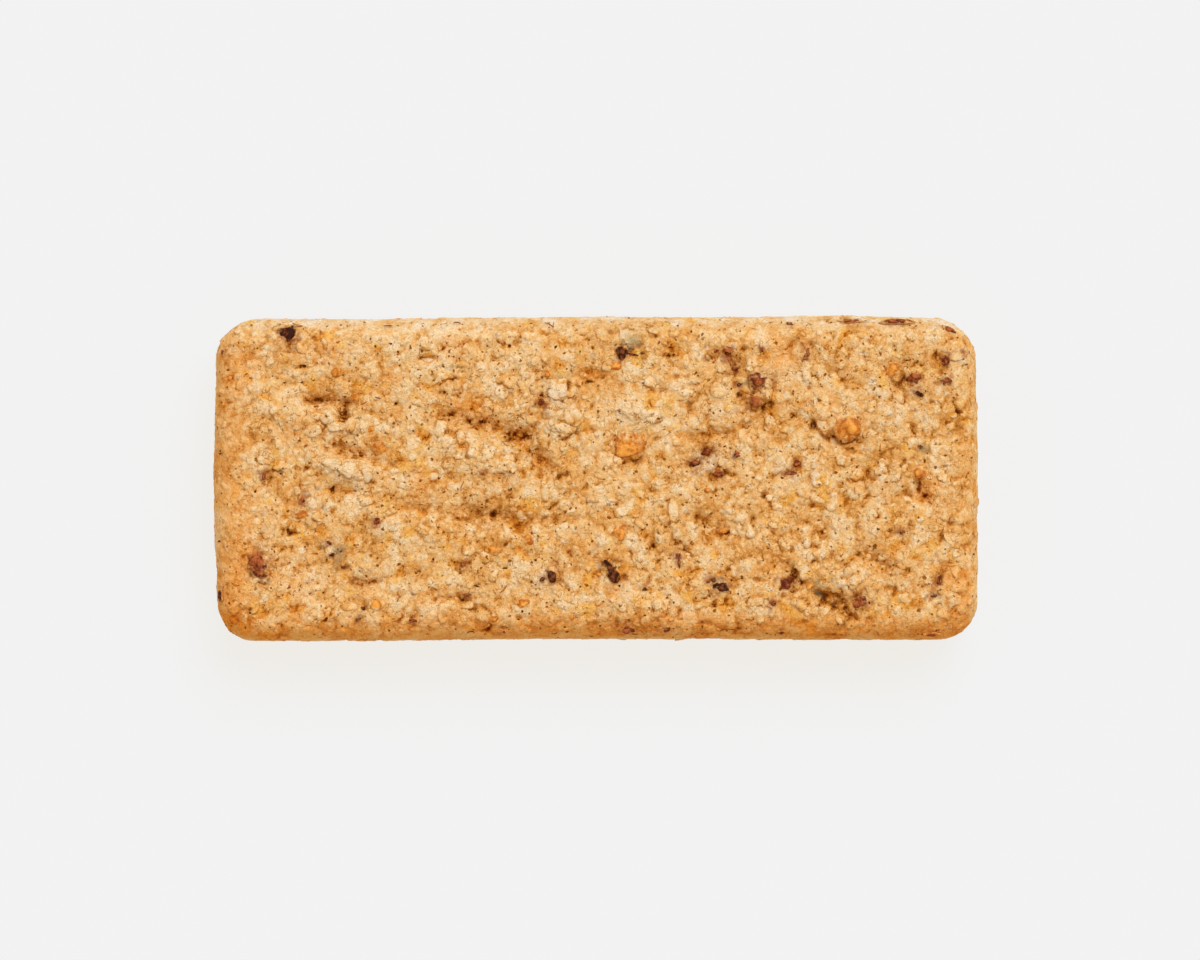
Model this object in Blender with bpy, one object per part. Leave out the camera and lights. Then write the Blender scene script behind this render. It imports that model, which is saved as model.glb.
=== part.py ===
"""Granola bar: one baked solid with rounded corners, soft shoulders and an uneven crumb top.

The bar stands on the XY plane with its long side along X. Its origin is the middle of its flat underside.
It starts as a cube, which is cut into a lattice. Each lattice point is then moved by the functions below:
first onto the rounded form of the bar, then up or down by the hollows, mounds and crumb of the top.
"""

import math

import bmesh
import bpy
from mathutils import Vector, noise

MM = 0.001

# Driving sizes
BAR_LENGTH = 95.0 * MM
BAR_WIDTH = 40.3 * MM
TOP_LEVEL = 13.2 * MM  # mean height of the crumb top
CORNER_RADIUS = 4.9 * MM  # of the four corners, seen from above
SHOULDER_REACH = 3.0 * MM  # how far the rounded top edge reaches in over the top
SHOULDER_DROP = 3.6 * MM  # and how far it reaches down the side
TOP_FADE_START = math.radians(15.0)  # the top's relief fades out over this part of the shoulder's turn
TOP_FADE_END = math.radians(80.0)
UPRIGHT = math.radians(90.0)
FOOT_RADIUS = 1.2 * MM  # small rounding where the side meets the underside
SIDE_BULGE = 0.3 * MM  # the sides swell this much at half height

# Lattice of the solid
TOP_CELL = 1.35 * MM  # one cell of the lattice on the top
SHOULDER_CELLS_TOP = 2
SHOULDER_ROWS_SIDE = 3
SIDE_ROWS = 3
FOOT_ROWS = 2

# Crumb: lumps as wide as a few grains, and single grains
LUMP_WIDTH = 4.2 * MM
LUMP_HEIGHT = 0.26 * MM
GRAIN_WIDTH = 1.7 * MM
GRAIN_HEIGHT = 0.20 * MM
SIDE_ROUGHNESS = 0.10 * MM
EDGE_WAVE_WIDTH = 14.0 * MM
EDGE_WAVE_HEIGHT = 0.16 * MM

# Hollows of the top: middle x and y, length, width, turn in degrees, depth. Millimetres.
HOLLOWS = (
    (-33.3, 9.5, 7.0, 2.0, -6, 1.15),  # cleft at the left, over a pale ridge
    (-31.4, 8.1, 1.6, 1.4, 0, 0.70),
    (-29.0, 2.9, 8.6, 1.7, -19, 0.85),
    (-31.4, -1.6, 4.6, 1.2, -5, 0.60),
    (-22.6, -3.6, 5.2, 1.5, -8, 0.70),
    (-17.6, 7.6, 5.0, 2.2, -14, 0.85),  # long furrow of the middle, in three reaches
    (-13.4, 6.2, 6.0, 2.4, -16, 1.15),
    (-9.4, 5.2, 4.4, 2.6, -14, 1.30),
    (-6.6, 1.8, 4.6, 2.6, -62, 1.10),
    (-12.4, -4.9, 12.0, 2.0, -3, 0.95),  # lower furrow
    (-28.4, -12.9, 4.2, 1.5, -8, 0.85),
    (-17.2, -15.0, 4.0, 1.1, -3, 0.60),
    (-1.0, 12.7, 4.2, 2.4, -10, 0.65),
    (3.6, 3.0, 5.0, 1.8, -8, 0.55),
    (13.0, 2.4, 5.0, 1.6, 42, 0.70),
    (14.6, 5.4, 8.0, 1.6, 4, 0.75),
    (19.6, 7.6, 4.6, 3.2, 60, 0.95),
    (17.4, 13.6, 6.0, 1.6, -50, 0.55),
    (14.6, -6.4, 4.2, 2.8, -30, 0.55),
    (30.4, 4.7, 5.6, 1.7, -8, 1.00),
    (33.4, 0.8, 3.4, 1.6, -42, 0.70),
    (40.2, -1.8, 3.6, 1.6, -62, 0.95),
    (35.2, -10.6, 3.8, 1.5, -38, 0.80),
    (27.4, -5.0, 4.6, 1.8, 80, 0.45),
    (23.0, -11.6, 4.6, 2.6, -55, 0.80),
    (27.8, -14.6, 6.4, 2.2, -24, 1.00),
    (42.2, -13.2, 3.2, 1.2, 72, 0.60),
    (36.6, 12.6, 3.6, 1.4, -72, 0.50),
)

# Mounds of the top, in the same terms, with their height last
MOUNDS = (
    (-36.4, 7.0, 10.0, 4.0, -18, 0.55),  # pale ridge under the cleft
    (-30.6, 0.9, 9.0, 2.8, -20, 0.60),
    (-14.6, 2.6, 11.0, 4.4, -8, 0.55),
    (-22.6, -7.2, 7.0, 4.4, 10, 0.40),
    (-13.4, -7.6, 9.0, 3.2, 0, 0.35),
    (-3.6, 7.2, 5.4, 5.0, 0, 0.40),
    (5.4, 8.4, 7.4, 3.8, -8, 0.40),
    (2.0, -16.0, 22.0, 2.8, 0, 0.28),  # low lip along the front edge
    (-25.0, 16.0, 18.0, 4.6, 0, 0.25),
    (28.2, 7.6, 2.6, 4.4, 8, 0.40),
    (35.4, 8.6, 4.6, 4.0, 0, 0.40),
    (30.8, -11.8, 5.6, 3.8, -18, 0.40),
    (37.4, -8.6, 6.4, 5.4, 0, 0.35),
    (11.6, -13.4, 6.4, 3.0, -24, 0.30),
)


def smooth_step(low, high, value):
    """0 below low, 1 above high, and an even S between them."""
    share = min(1.0, max(0.0, (value - low) / (high - low)))
    return share * share * (3.0 - 2.0 * share)


def swelling(x, y, feature):
    """Height share, 0 to 1, at a point of one long hollow or mound: level along its length, round across it."""
    middle_x, middle_y, length, width, turn, _ = feature
    along_x, along_y = math.cos(math.radians(turn)), math.sin(math.radians(turn))
    off_x, off_y = x - middle_x * MM, y - middle_y * MM
    along = (off_x * along_x + off_y * along_y) / (length * MM / 2)
    across = (off_y * along_x - off_x * along_y) / (width * MM / 2)
    return math.exp(-(along**4) - across**2)


def ripple(point, width, height):
    """A smooth, fixed rise and fall, each about width across and up to height either way."""
    return 2.0 * height * noise.noise(point / width)


def top_relief(x, y):
    """Height of the top over its mean level: wide lumps, single grains, hollows and mounds."""
    point = Vector((x, y, 0.0))
    height = ripple(point, LUMP_WIDTH, LUMP_HEIGHT) + ripple(point, GRAIN_WIDTH, GRAIN_HEIGHT)
    for feature in HOLLOWS:
        height -= feature[-1] * MM * swelling(x, y, feature)
    for feature in MOUNDS:
        height += feature[-1] * MM * swelling(x, y, feature)
    return height


def even_cuts(start, end, count):
    """The cuts between start and end that leave count equal cells, start and end included."""
    return [start + (end - start) * step / count for step in range(count + 1)]


def plan_cuts(half):
    """Cut places along X or Y: equal cells over the top, and a few on each shoulder."""
    inner = half - SHOULDER_REACH
    cells = round(2 * inner / TOP_CELL)
    shoulder = even_cuts(inner, half, SHOULDER_CELLS_TOP)[1:-1]
    return [-cut for cut in shoulder] + even_cuts(-inner, inner, cells) + shoulder


def height_cuts():
    """Cut places along Z: the foot, the straight side and the shoulder."""
    shoulder_base = TOP_LEVEL - SHOULDER_DROP
    cuts = even_cuts(0.0, FOOT_RADIUS, FOOT_ROWS)[1:]
    cuts += even_cuts(FOOT_RADIUS, shoulder_base, SIDE_ROWS)[1:]
    cuts += even_cuts(shoulder_base, TOP_LEVEL, SHOULDER_ROWS_SIDE)[1:-1]
    return cuts


def lattice_block(half_x, half_y):
    """A cube of the bar's size, cut into a lattice, with its underside left as one face."""
    block = bmesh.new()
    bmesh.ops.create_cube(block, size=1.0)
    bmesh.ops.scale(block, vec=(2 * half_x, 2 * half_y, TOP_LEVEL), verts=block.verts)
    bmesh.ops.translate(block, vec=(0.0, 0.0, TOP_LEVEL / 2), verts=block.verts)
    cuts = [((cut, 0, 0), (1, 0, 0)) for cut in plan_cuts(half_x)]
    cuts += [((0, cut, 0), (0, 1, 0)) for cut in plan_cuts(half_y)]
    cuts += [((0, 0, cut), (0, 0, 1)) for cut in height_cuts()]
    for place, normal in cuts:
        geometry = block.verts[:] + block.edges[:] + block.faces[:]
        bmesh.ops.bisect_plane(block, geom=geometry, dist=1e-7, plane_co=place, plane_no=normal)
    underside = [face for face in block.faces if face.normal.z < -0.9]
    bmesh.ops.dissolve_faces(block, faces=underside, use_verts=False)
    return block


def profile(raw, overshoot):
    """The bar's section: inset from the outline, height, and how far the point has turned from top to side.

    Overshoot is how far the point is out over the shoulder, 0 to 1. The shoulder is a quarter of an ellipse,
    whose upper half lies on the lattice's top and whose lower half lies on its side. The foot is a quarter circle.
    """
    shoulder_base = TOP_LEVEL - SHOULDER_DROP
    if raw.z > shoulder_base:
        on_side = (TOP_LEVEL - raw.z) / SHOULDER_DROP
        turn = UPRIGHT * (overshoot + on_side) / 2
        inset = SHOULDER_REACH * (1.0 - math.sin(turn))
        return inset, shoulder_base + SHOULDER_DROP * math.cos(turn), turn
    if raw.z < FOOT_RADIUS:
        tuck = UPRIGHT * (1.0 - raw.z / FOOT_RADIUS)
        inset = FOOT_RADIUS * (1.0 - math.cos(tuck))
        return inset, FOOT_RADIUS * (1.0 - math.sin(tuck)), UPRIGHT
    return 0.0, raw.z, UPRIGHT


def rounded_plan(raw, half_x, half_y, inset, overshoot):
    """Where a lattice point lies in plan, on the outline drawn in by inset, and which way is outwards there.

    Inside each corner, the square of the lattice is bent to a quarter disc: (u, v) becomes
    (u sqrt(1 - v*v/2), v sqrt(1 - u*u/2)), which turns the square's outer sides into the arc.
    """
    radius = CORNER_RADIUS - inset
    reach_now = SHOULDER_REACH - inset
    place, out = [], []
    for value, half in ((raw.x, half_x), (raw.y, half_y)):
        size = abs(value)
        over = max(0.0, size - (half - SHOULDER_REACH)) / SHOULDER_REACH
        if over > 0.0:
            size = half - SHOULDER_REACH + reach_now * over / max(overshoot, 1e-9)
        out.append(max(0.0, size - (half - CORNER_RADIUS)) / radius)
        place.append(min(size, half - CORNER_RADIUS))
    u, v = out
    bent = (u * math.sqrt(1.0 - v * v / 2), v * math.sqrt(1.0 - u * u / 2))
    length = math.hypot(*bent) or 1.0
    sign_x, sign_y = math.copysign(1.0, raw.x), math.copysign(1.0, raw.y)
    x = sign_x * (place[0] + radius * bent[0])
    y = sign_y * (place[1] + radius * bent[1])
    return x, y, Vector((sign_x * bent[0] / length, sign_y * bent[1] / length, 0.0))


def baked_point(raw, half_x, half_y):
    """Where a point of the lattice lies on the baked bar."""
    over_x = max(0.0, abs(raw.x) - (half_x - SHOULDER_REACH)) / SHOULDER_REACH
    over_y = max(0.0, abs(raw.y) - (half_y - SHOULDER_REACH)) / SHOULDER_REACH
    overshoot = max(over_x, over_y)
    inset, height, turn = profile(raw, overshoot)
    x, y, outwards = rounded_plan(raw, half_x, half_y, inset, overshoot)
    on_side = smooth_step(0.0, UPRIGHT, turn)
    swell = SIDE_BULGE * math.sin(math.pi * min(1.0, height / TOP_LEVEL))
    wave = ripple(Vector((x, y, 0.0)), EDGE_WAVE_WIDTH, EDGE_WAVE_HEIGHT)
    rough = ripple(Vector((x, y, height)), GRAIN_WIDTH, SIDE_ROUGHNESS)
    point = Vector((x, y, height)) + outwards * on_side * (swell + wave + rough)
    if height > FOOT_RADIUS:
        point.z += top_relief(x, y) * (1.0 - smooth_step(TOP_FADE_START, TOP_FADE_END, turn))
    return point


def fit_to_size(block):
    """Brings the outline to its driving length and width, with its middle on the origin."""
    for axis, size in ((0, BAR_LENGTH), (1, BAR_WIDTH)):
        values = [vertex.co[axis] for vertex in block.verts]
        middle, ratio = (max(values) + min(values)) / 2, size / (max(values) - min(values))
        for vertex in block.verts:
            vertex.co[axis] = (vertex.co[axis] - middle) * ratio


def baked_crumb_material():
    material = bpy.data.materials.new("baked_crumb")
    material.use_nodes = True
    shader = material.node_tree.nodes["Principled BSDF"]
    shader.inputs["Base Color"].default_value = (0.66, 0.37, 0.14, 1.0)
    shader.inputs["Roughness"].default_value = 0.75
    shader.inputs["Metallic"].default_value = 0.0
    return material


def make_bar(collection):
    half_x, half_y = BAR_LENGTH / 2 - SIDE_BULGE, BAR_WIDTH / 2 - SIDE_BULGE
    block = lattice_block(half_x, half_y)
    for vertex in block.verts:
        vertex.co = baked_point(vertex.co.copy(), half_x, half_y)
    fit_to_size(block)
    bmesh.ops.recalc_face_normals(block, faces=block.faces)
    mesh = bpy.data.meshes.new("bar")
    block.to_mesh(mesh)
    block.free()
    mesh.shade_smooth()
    mesh.set_sharp_from_angle(angle=math.radians(50.0))
    mesh.materials.append(baked_crumb_material())
    bar = bpy.data.objects.new("bar", mesh)
    collection.objects.link(bar)


def main():
    for old in list(bpy.data.objects):
        bpy.data.objects.remove(old)
    collection = bpy.data.collections.new("granola_bar")
    bpy.context.scene.collection.children.link(collection)
    make_bar(collection)


main()
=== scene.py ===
import math

import bpy
import numpy as np
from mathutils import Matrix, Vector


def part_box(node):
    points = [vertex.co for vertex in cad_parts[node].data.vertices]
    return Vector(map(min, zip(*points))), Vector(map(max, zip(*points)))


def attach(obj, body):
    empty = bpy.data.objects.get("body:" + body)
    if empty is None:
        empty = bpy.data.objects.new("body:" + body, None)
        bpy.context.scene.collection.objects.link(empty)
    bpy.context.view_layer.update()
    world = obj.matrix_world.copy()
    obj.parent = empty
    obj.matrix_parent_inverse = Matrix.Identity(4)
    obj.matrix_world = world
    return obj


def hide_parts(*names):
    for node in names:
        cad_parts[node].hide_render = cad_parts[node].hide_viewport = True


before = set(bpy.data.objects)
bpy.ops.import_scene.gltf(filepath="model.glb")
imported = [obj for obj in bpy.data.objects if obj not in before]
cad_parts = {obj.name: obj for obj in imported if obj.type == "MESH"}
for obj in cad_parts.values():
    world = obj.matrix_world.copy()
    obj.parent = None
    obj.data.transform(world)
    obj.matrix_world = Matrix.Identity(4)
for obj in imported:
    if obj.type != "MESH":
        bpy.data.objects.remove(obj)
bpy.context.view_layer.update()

# Granola bar: the crumb block, and the grains, nut and fruit pieces, dark bits and bran that sit in it.
# Lengths here are millimetres and turns are degrees. mm brings them to metres where Blender takes them.
mm = 0.001
barLow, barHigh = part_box("bar")

form = {  # the solid's named sizes, and how far apart the points lie on the top and down the sides
    "length": (barHigh.x - barLow.x) / mm,
    "width": (barHigh.y - barLow.y) / mm,
    "topLevel": 13.2,
    "cornerRadius": 4.9,
    "shoulderReach": 3.0,
    "shoulderDrop": 3.6,
    "footRadius": 1.2,
    "sideBulge": 0.3,
    "waveWidth": 14.0,
    "waveHeight": 0.13,
    "cell": 0.275,
    "sideCell": 0.42,
    "shoulderRows": 10,
    "footRows": 4,
    "underInset": 0.3,
}


# Numbers that are spread evenly, noise, and rounded cells, all for whole arrays of points

def scramble(cells, salt):
    # mixes the three whole numbers of each cell and a salt into one even number from 0 to 1
    c = cells.astype(np.int64).astype(np.uint64)
    h = c[..., 0] * np.uint64(73856093) ^ c[..., 1] * np.uint64(19349663) ^ c[..., 2] * np.uint64(83492791)
    h = (h ^ np.uint64(salt * 2654435761 % 2**32)) & np.uint64(0xFFFFFFFF)
    for factor in (2246822519, 3266489917, 668265263):
        h = ((h ^ (h >> np.uint64(15))) * np.uint64(factor)) & np.uint64(0xFFFFFFFF)
    return (h ^ (h >> np.uint64(16))) / 2.0**32


def smoothNoise(points, width, salt):
    # slopes picked at random at the corners of each cell, blended by an even S: about -1 to 1
    p = points / width + 500.0
    cell = np.floor(p)
    f = p - cell
    s = f * f * f * (f * (f * 6 - 15) + 10)
    total = np.zeros(p.shape[:-1])
    for corner in np.ndindex(2, 2, 2):
        c = np.array(corner)
        slope = np.stack([scramble(cell + c, salt + k) - 0.5 for k in range(3)], -1)
        total += np.prod(np.where(c, s, 1 - s), -1) * np.sum(slope * (f - c), -1)
    return total * 3.2


def noiseVector(points, width, salt):
    return np.stack([smoothNoise(points, width, salt + 7 * k) for k in range(3)], -1)


def roundedCells(points, width, salt):
    # one rounded grain in each cell, set off its middle at random: about 1 high at its middle, falling by the
    # square of the distance. Neighbours melt together as log(sum(exp(melt * height))) / melt does. Also gives
    # the tone of the grains there, each grain's own random number weighted the same way.
    scattered, melt = 0.8, 7.0
    p = points / width + 500.0
    cell = np.floor(p)
    total = np.full(p.shape[:-1], 1e-9)
    toned = np.full(p.shape[:-1], 0.5e-9)
    for step in np.ndindex(3, 3, 3):
        near = cell + np.array(step) - 1
        middle = near + 0.5 + scattered * np.stack([scramble(near, salt + k) - 0.5 for k in range(3)], -1)
        lot = scramble(near, salt + 3)
        radius = 0.62 + 0.30 * scramble(near, salt + 4)
        dome = 1 - np.sum((p - middle) ** 2, -1) / radius**2 + 0.5 * (scramble(near, salt + 5) - 0.5)
        weight = np.exp(melt * np.clip(dome, -3, 2))
        total += weight
        toned += weight * lot
    return np.log(total) / melt, toned / total


def smoothStep(low, high, value):
    share = np.clip((value - low) / (high - low), 0, 1)
    return share * share * (3 - 2 * share)


def spots(x, y, features, sharp=4):
    # for each long spot, its last number times exp(-along^sharp - across^2), both measured in half sizes
    for middleX, middleY, length, width, turn, strength in features:
        c, s = math.cos(math.radians(turn)), math.sin(math.radians(turn))
        along = ((x - middleX) * c + (y - middleY) * s) / (length / 2)
        across = ((y - middleY) * c - (x - middleX) * s) / (width / 2)
        yield strength * np.exp(-np.minimum(np.abs(along) ** sharp + across**2, 60))


def heaped(x, y, features, sharp=4):
    return sum(spots(x, y, features, sharp))


def strongest(x, y, features, sharp=2):
    best = np.zeros_like(x)
    for spot in spots(x, y, features, sharp):
        best = np.maximum(best, spot)
    return best


# The bar's rounded form, worked out on the faces of a box lattice

def latticeCuts(half):
    inner = half - form["shoulderReach"]
    shoulderCells = round(form["shoulderReach"] / form["cell"])
    shoulder = np.linspace(inner, half, shoulderCells + 1)[1:]
    middle = np.linspace(-inner, inner, 2 * round(inner / form["cell"]) + 1)
    return np.concatenate([-shoulder[::-1], middle, shoulder])


def ringIndex(cellsX, cellsY):
    # the columns and rows met going once round the lattice's edge, anticlockwise from above
    upX, upY = np.arange(cellsX), np.arange(cellsY)
    stayX, stayY = np.zeros(cellsX, int), np.zeros(cellsY, int)
    ix = np.concatenate([upX, stayY + cellsX, cellsX - upX, stayY])
    iy = np.concatenate([stayX, upY, stayX + cellsY, cellsY - upY])
    return ix, iy


def gridQuads(index, up):
    quads = np.stack([index[:-1, :-1], index[1:, :-1], index[1:, 1:], index[:-1, 1:]], -1).reshape(-1, 4)
    return quads if up else quads[:, ::-1]


def levelGrid(cutsX, cutsY, level):
    flat = np.meshgrid(cutsX, cutsY, indexing="ij")
    return np.stack(flat + [np.full((len(cutsX), len(cutsY)), level)], -1)


def boxLattice(halfX, halfY):
    # points on a box: its top, rows down its sides, and a coarser underside. Gives the points, which part
    # each is on (0 top, 1 side, 2 underside), the faces with four corners and those with three.
    cutsX, cutsY = latticeCuts(halfX), latticeCuts(halfY)
    cellsX, cellsY = len(cutsX) - 1, len(cutsY) - 1
    top = levelGrid(cutsX, cutsY, form["topLevel"])
    topIndex = np.arange(top.shape[0] * top.shape[1]).reshape(top.shape[:2])
    ix, iy = ringIndex(cellsX, cellsY)

    shoulderBase = form["topLevel"] - form["shoulderDrop"]
    wallRows = round((shoulderBase - form["footRadius"]) / form["sideCell"])
    rows = np.concatenate([
        np.linspace(form["topLevel"], shoulderBase, form["shoulderRows"] + 1)[1:],
        np.linspace(shoulderBase, form["footRadius"], wallRows + 1)[1:],
        np.linspace(form["footRadius"], 0.0, form["footRows"] + 1)[1:],
    ])
    sides = np.empty((len(rows), len(ix), 3))
    sides[..., :2] = top[ix, iy, :2]
    sides[..., 2] = rows[:, None]
    sideIndex = topIndex.size + np.arange(len(rows) * len(ix)).reshape(len(rows), len(ix))

    underX, underY = cutsX[::2].copy(), cutsY[::2].copy()
    for cuts in (underX, underY):
        cuts[[0, -1]] *= 1 - form["underInset"] / abs(cuts[0])
    under = levelGrid(underX, underY, 0.0)
    underIndex = np.arange(len(underX) * len(underY)).reshape(len(underX), -1)
    underIndex += topIndex.size + sideIndex.size

    bands = np.vstack([topIndex[ix, iy], sideIndex])
    nextBands = np.roll(bands, -1, axis=1)
    sideQuads = np.stack([bands[1:], nextBands[1:], nextBands[:-1], bands[:-1]], -1).reshape(-1, 4)
    outer = sideIndex[-1]
    inner = underIndex[ringIndex(cellsX // 2, cellsY // 2)]
    nextInner = np.roll(inner, -1)
    even, odd, nextEven = outer[::2], outer[1::2], np.roll(outer[::2], -1)
    strip = np.concatenate([
        np.stack([odd, even, inner], -1),
        np.stack([odd, inner, nextInner], -1),
        np.stack([nextEven, odd, nextInner], -1),
    ])
    raw = np.concatenate([top.reshape(-1, 3), sides.reshape(-1, 3), under.reshape(-1, 3)])
    part = np.repeat([0, 1, 2], [topIndex.size, sideIndex.size, underIndex.size])
    quads = np.concatenate([gridQuads(topIndex, True), sideQuads, gridQuads(underIndex, False)])
    return raw, part, quads, strip


def roundedForm(raw, part, halfX, halfY):
    # where each lattice point lies on the smooth bar, its outward direction, its turn (0 on top, 90 on the
    # side) and whether it is on the underside. The shoulder is a quarter ellipse and the foot a quarter
    # circle. In each corner the square of the lattice is bent to a quarter disc: (u, v) becomes
    # (u sqrt(1 - v*v/2), v sqrt(1 - u*u/2)).
    reach, drop, foot, top = (form[k] for k in ("shoulderReach", "shoulderDrop", "footRadius", "topLevel"))
    half = np.array([halfX, halfY])
    size = np.abs(raw[:, :2])
    over = np.maximum(size - (half - reach), 0) / reach
    t = over.max(1)
    z = raw[:, 2]
    onShoulder = z > top - drop
    turn = np.where(onShoulder, 90 * (t + (top - z) / drop) / 2, 90.0)
    angle = np.radians(turn)
    tuck = np.radians(90) * np.clip(1 - z / foot, 0, 1)
    inset = np.where(onShoulder, reach * (1 - np.sin(angle)), foot * (1 - np.cos(tuck)))
    height = np.where(z < foot, foot * (1 - np.sin(tuck)), z)
    height = np.where(onShoulder, top - drop + drop * np.cos(angle), height)
    under = part == 2
    inset = np.where(under, reach - (reach - foot) * t, inset)
    height = np.where(under, 0.0, height)

    radius = form["cornerRadius"] - inset
    stretched = half - reach + (reach - inset)[:, None] * over / np.maximum(t, 1e-9)[:, None]
    size = np.where(over > 0, stretched, size)
    uv = np.maximum(size - (half - form["cornerRadius"]), 0) / radius[:, None]
    bent = uv * np.sqrt(1 - uv[:, ::-1] ** 2 / 2)
    sign = np.where(raw[:, :2] < 0, -1.0, 1.0)
    plan = sign * (np.minimum(size, half - form["cornerRadius"]) + radius[:, None] * bent)
    out = sign * bent / np.maximum(np.linalg.norm(bent, axis=1), 1e-9)[:, None]

    rise = np.where(onShoulder, reach * np.cos(angle), np.where(z < foot, -np.sin(tuck) * drop, 0.0))
    away = np.where(onShoulder, drop * np.sin(angle), np.cos(tuck) * drop)
    normal = np.column_stack([out * away[:, None], rise])
    normal[under] = (0, 0, -1)
    normal /= np.linalg.norm(normal, axis=1)[:, None]

    point = np.column_stack([plan, height])
    onSide = smoothStep(0, 90, turn) * (~under)
    swell = form["sideBulge"] * np.sin(np.pi * np.clip(height / top, 0, 1))
    flat = np.column_stack([plan, np.zeros(len(plan))])
    wave = form["waveHeight"] * smoothNoise(flat, form["waveWidth"], 5)
    point[:, :2] += out * (onSide * (swell + wave))[:, None]
    return point, normal, turn, under


# Meshes

def newPiece(name, points, quads, triangles=None, values=None):
    # one mesh object at the origin, from whole arrays; values are named numbers for each point
    triangles = np.zeros((0, 3), int) if triangles is None else triangles
    mesh = bpy.data.meshes.new(name)
    corners = np.concatenate([quads.ravel(), triangles.ravel()]).astype(np.int32)
    starts = np.concatenate([np.arange(len(quads)) * 4, len(quads) * 4 + np.arange(len(triangles)) * 3])
    mesh.vertices.add(len(points))
    mesh.vertices.foreach_set("co", (points * mm).astype(np.float32).ravel())
    mesh.loops.add(len(corners))
    mesh.loops.foreach_set("vertex_index", corners)
    mesh.polygons.add(len(starts))
    mesh.polygons.foreach_set("loop_start", starts.astype(np.int32))
    mesh.update(calc_edges=True)
    mesh.shade_smooth()
    for key, numbers in (values or {}).items():
        made = mesh.attributes.new(key, "FLOAT", "POINT")
        made.data.foreach_set("value", numbers.astype(np.float32).ravel())
    piece = bpy.data.objects.new(name, mesh)
    bpy.context.scene.collection.objects.link(piece)
    print(name, "has", 2 * len(quads) + len(triangles), "triangles")
    return piece


def meshNormals(points, quads, triangles):
    # the outward direction at each point, from the faces around it
    normal = np.zeros_like(points)
    for faces in (quads, triangles):
        a, b, c, d = (points[faces[:, k]] for k in (0, 1, 2, -1))
        across = np.cross(c - a, d - b) if faces.shape[1] == 4 else np.cross(b - a, c - a)
        for k in range(faces.shape[1]):
            np.add.at(normal, faces[:, k], across)
    return normal / np.maximum(np.linalg.norm(normal, axis=1), 1e-12)[:, None]


edgeDrift = {  # how far out of the even outline each edge lies, at places along it
    "left": (
        (-20, 0.1), (-17, -0.4), (-11, -0.3), (-5, -0.1), (-1, 0.05), (5, -0.12), (11, -0.28), (20, -0.38),
    ),
    "right": ((-20, 0.15), (-14, 0), (4, 0), (11, -0.28), (20, -0.28)),
    "front": (
        (-47, 0.1), (-38, 0.3), (-29, 0.32), (-20, 0.05), (1, -0.08), (20, 0.06), (36, 0.06), (47, 0.1),
    ),
    "back": (
        (-47, -0.38), (-40, -0.3), (-27, -0.32), (-16, -0.15), (3, -0.06), (14, -0.13), (22, -0.1),
        (30, 0.15), (38, 0), (47, -0.35),
    ),
}


def drifted(point):
    # moves each point by its edge's drift, full at the edge and gone well inside
    fullX, goneX, fullY, goneY = 47, 30, 20, 8
    x, y = point[:, 0], point[:, 1]
    drift = {edge: np.interp(x if edge in ("front", "back") else y, *np.transpose(rows))
             for edge, rows in edgeDrift.items()}
    alongX = drift["right"] * smoothStep(goneX, fullX, x) - drift["left"] * smoothStep(-goneX, -fullX, x)
    alongY = drift["back"] * smoothStep(goneY, fullY, y) - drift["front"] * smoothStep(-goneY, -fullY, y)
    return point + np.column_stack([alongX, alongY, np.zeros(len(point))])


def edgeShares(point):
    # how near a point is to each edge of the bar, 0 to 1, seen from above
    x, y = point[:, 0], point[:, 1]
    rimWidth = {"left": 7.0, "right": 5.0, "front": 4.8, "back": 4.5}
    inward = {
        "left": x + form["length"] / 2,
        "right": form["length"] / 2 - x,
        "front": y + form["width"] / 2,
        "back": form["width"] / 2 - y,
    }
    return {edge: 1 - smoothStep(0.3, rimWidth[edge], inward[edge]) for edge in rimWidth}


# Broad hollows, nearly as in the solid: x, y, length, width, turn, depth
hollows = (
    (-33.3, 9.5, 7, 2, -6, 1.15), (-31.4, 8.1, 1.6, 1.4, 0, 0.7), (-29, 2.9, 8.6, 1.7, -19, 0.85),
    (-31.4, -1.6, 4.6, 1.2, -5, 0.6), (-22.6, -3.6, 5.2, 1.5, -8, 0.7), (-17.6, 7.6, 5, 2.2, -14, 0.85),
    (-13.4, 6.2, 6, 2.4, -16, 1.15), (-9.4, 5.2, 4.4, 2.6, -14, 1.3), (-6.6, 1.8, 4.6, 2.6, -62, 1.1),
    (-12.4, -4.9, 12, 2, -3, 0.95), (-28.4, -12.9, 4.2, 1.5, -8, 0.85), (-17.2, -15, 4, 1.1, -3, 0.6),
    (-1, 12.7, 4.2, 2.4, -10, 0.65), (3.6, 3, 5, 1.8, -8, 0.55), (13, 2.4, 5, 1.6, 42, 0.7),
    (14.6, 5.4, 8, 1.6, 4, 0.75), (19.6, 7.6, 4.6, 3.2, 60, 0.95), (17.4, 13.6, 6, 1.6, -50, 0.55),
    (14.6, -6.4, 4.2, 2.8, -30, 0.55), (30.4, 4.7, 5.6, 1.7, -8, 1.0), (33.4, 0.8, 3.4, 1.6, -42, 0.7),
    (40.2, -1.8, 3.6, 1.6, -62, 0.95), (35.2, -10.6, 3.8, 1.5, -38, 0.8), (27.4, -5, 4.6, 1.8, 80, 0.45),
    (23, -11.6, 4.6, 2.6, -55, 0.6), (27.8, -14.6, 6.4, 2.2, -24, 1.0), (42.2, -13.2, 3.2, 1.2, 72, 0.6),
    (36.6, 12.6, 3.6, 1.4, -72, 0.5),
)

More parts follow.
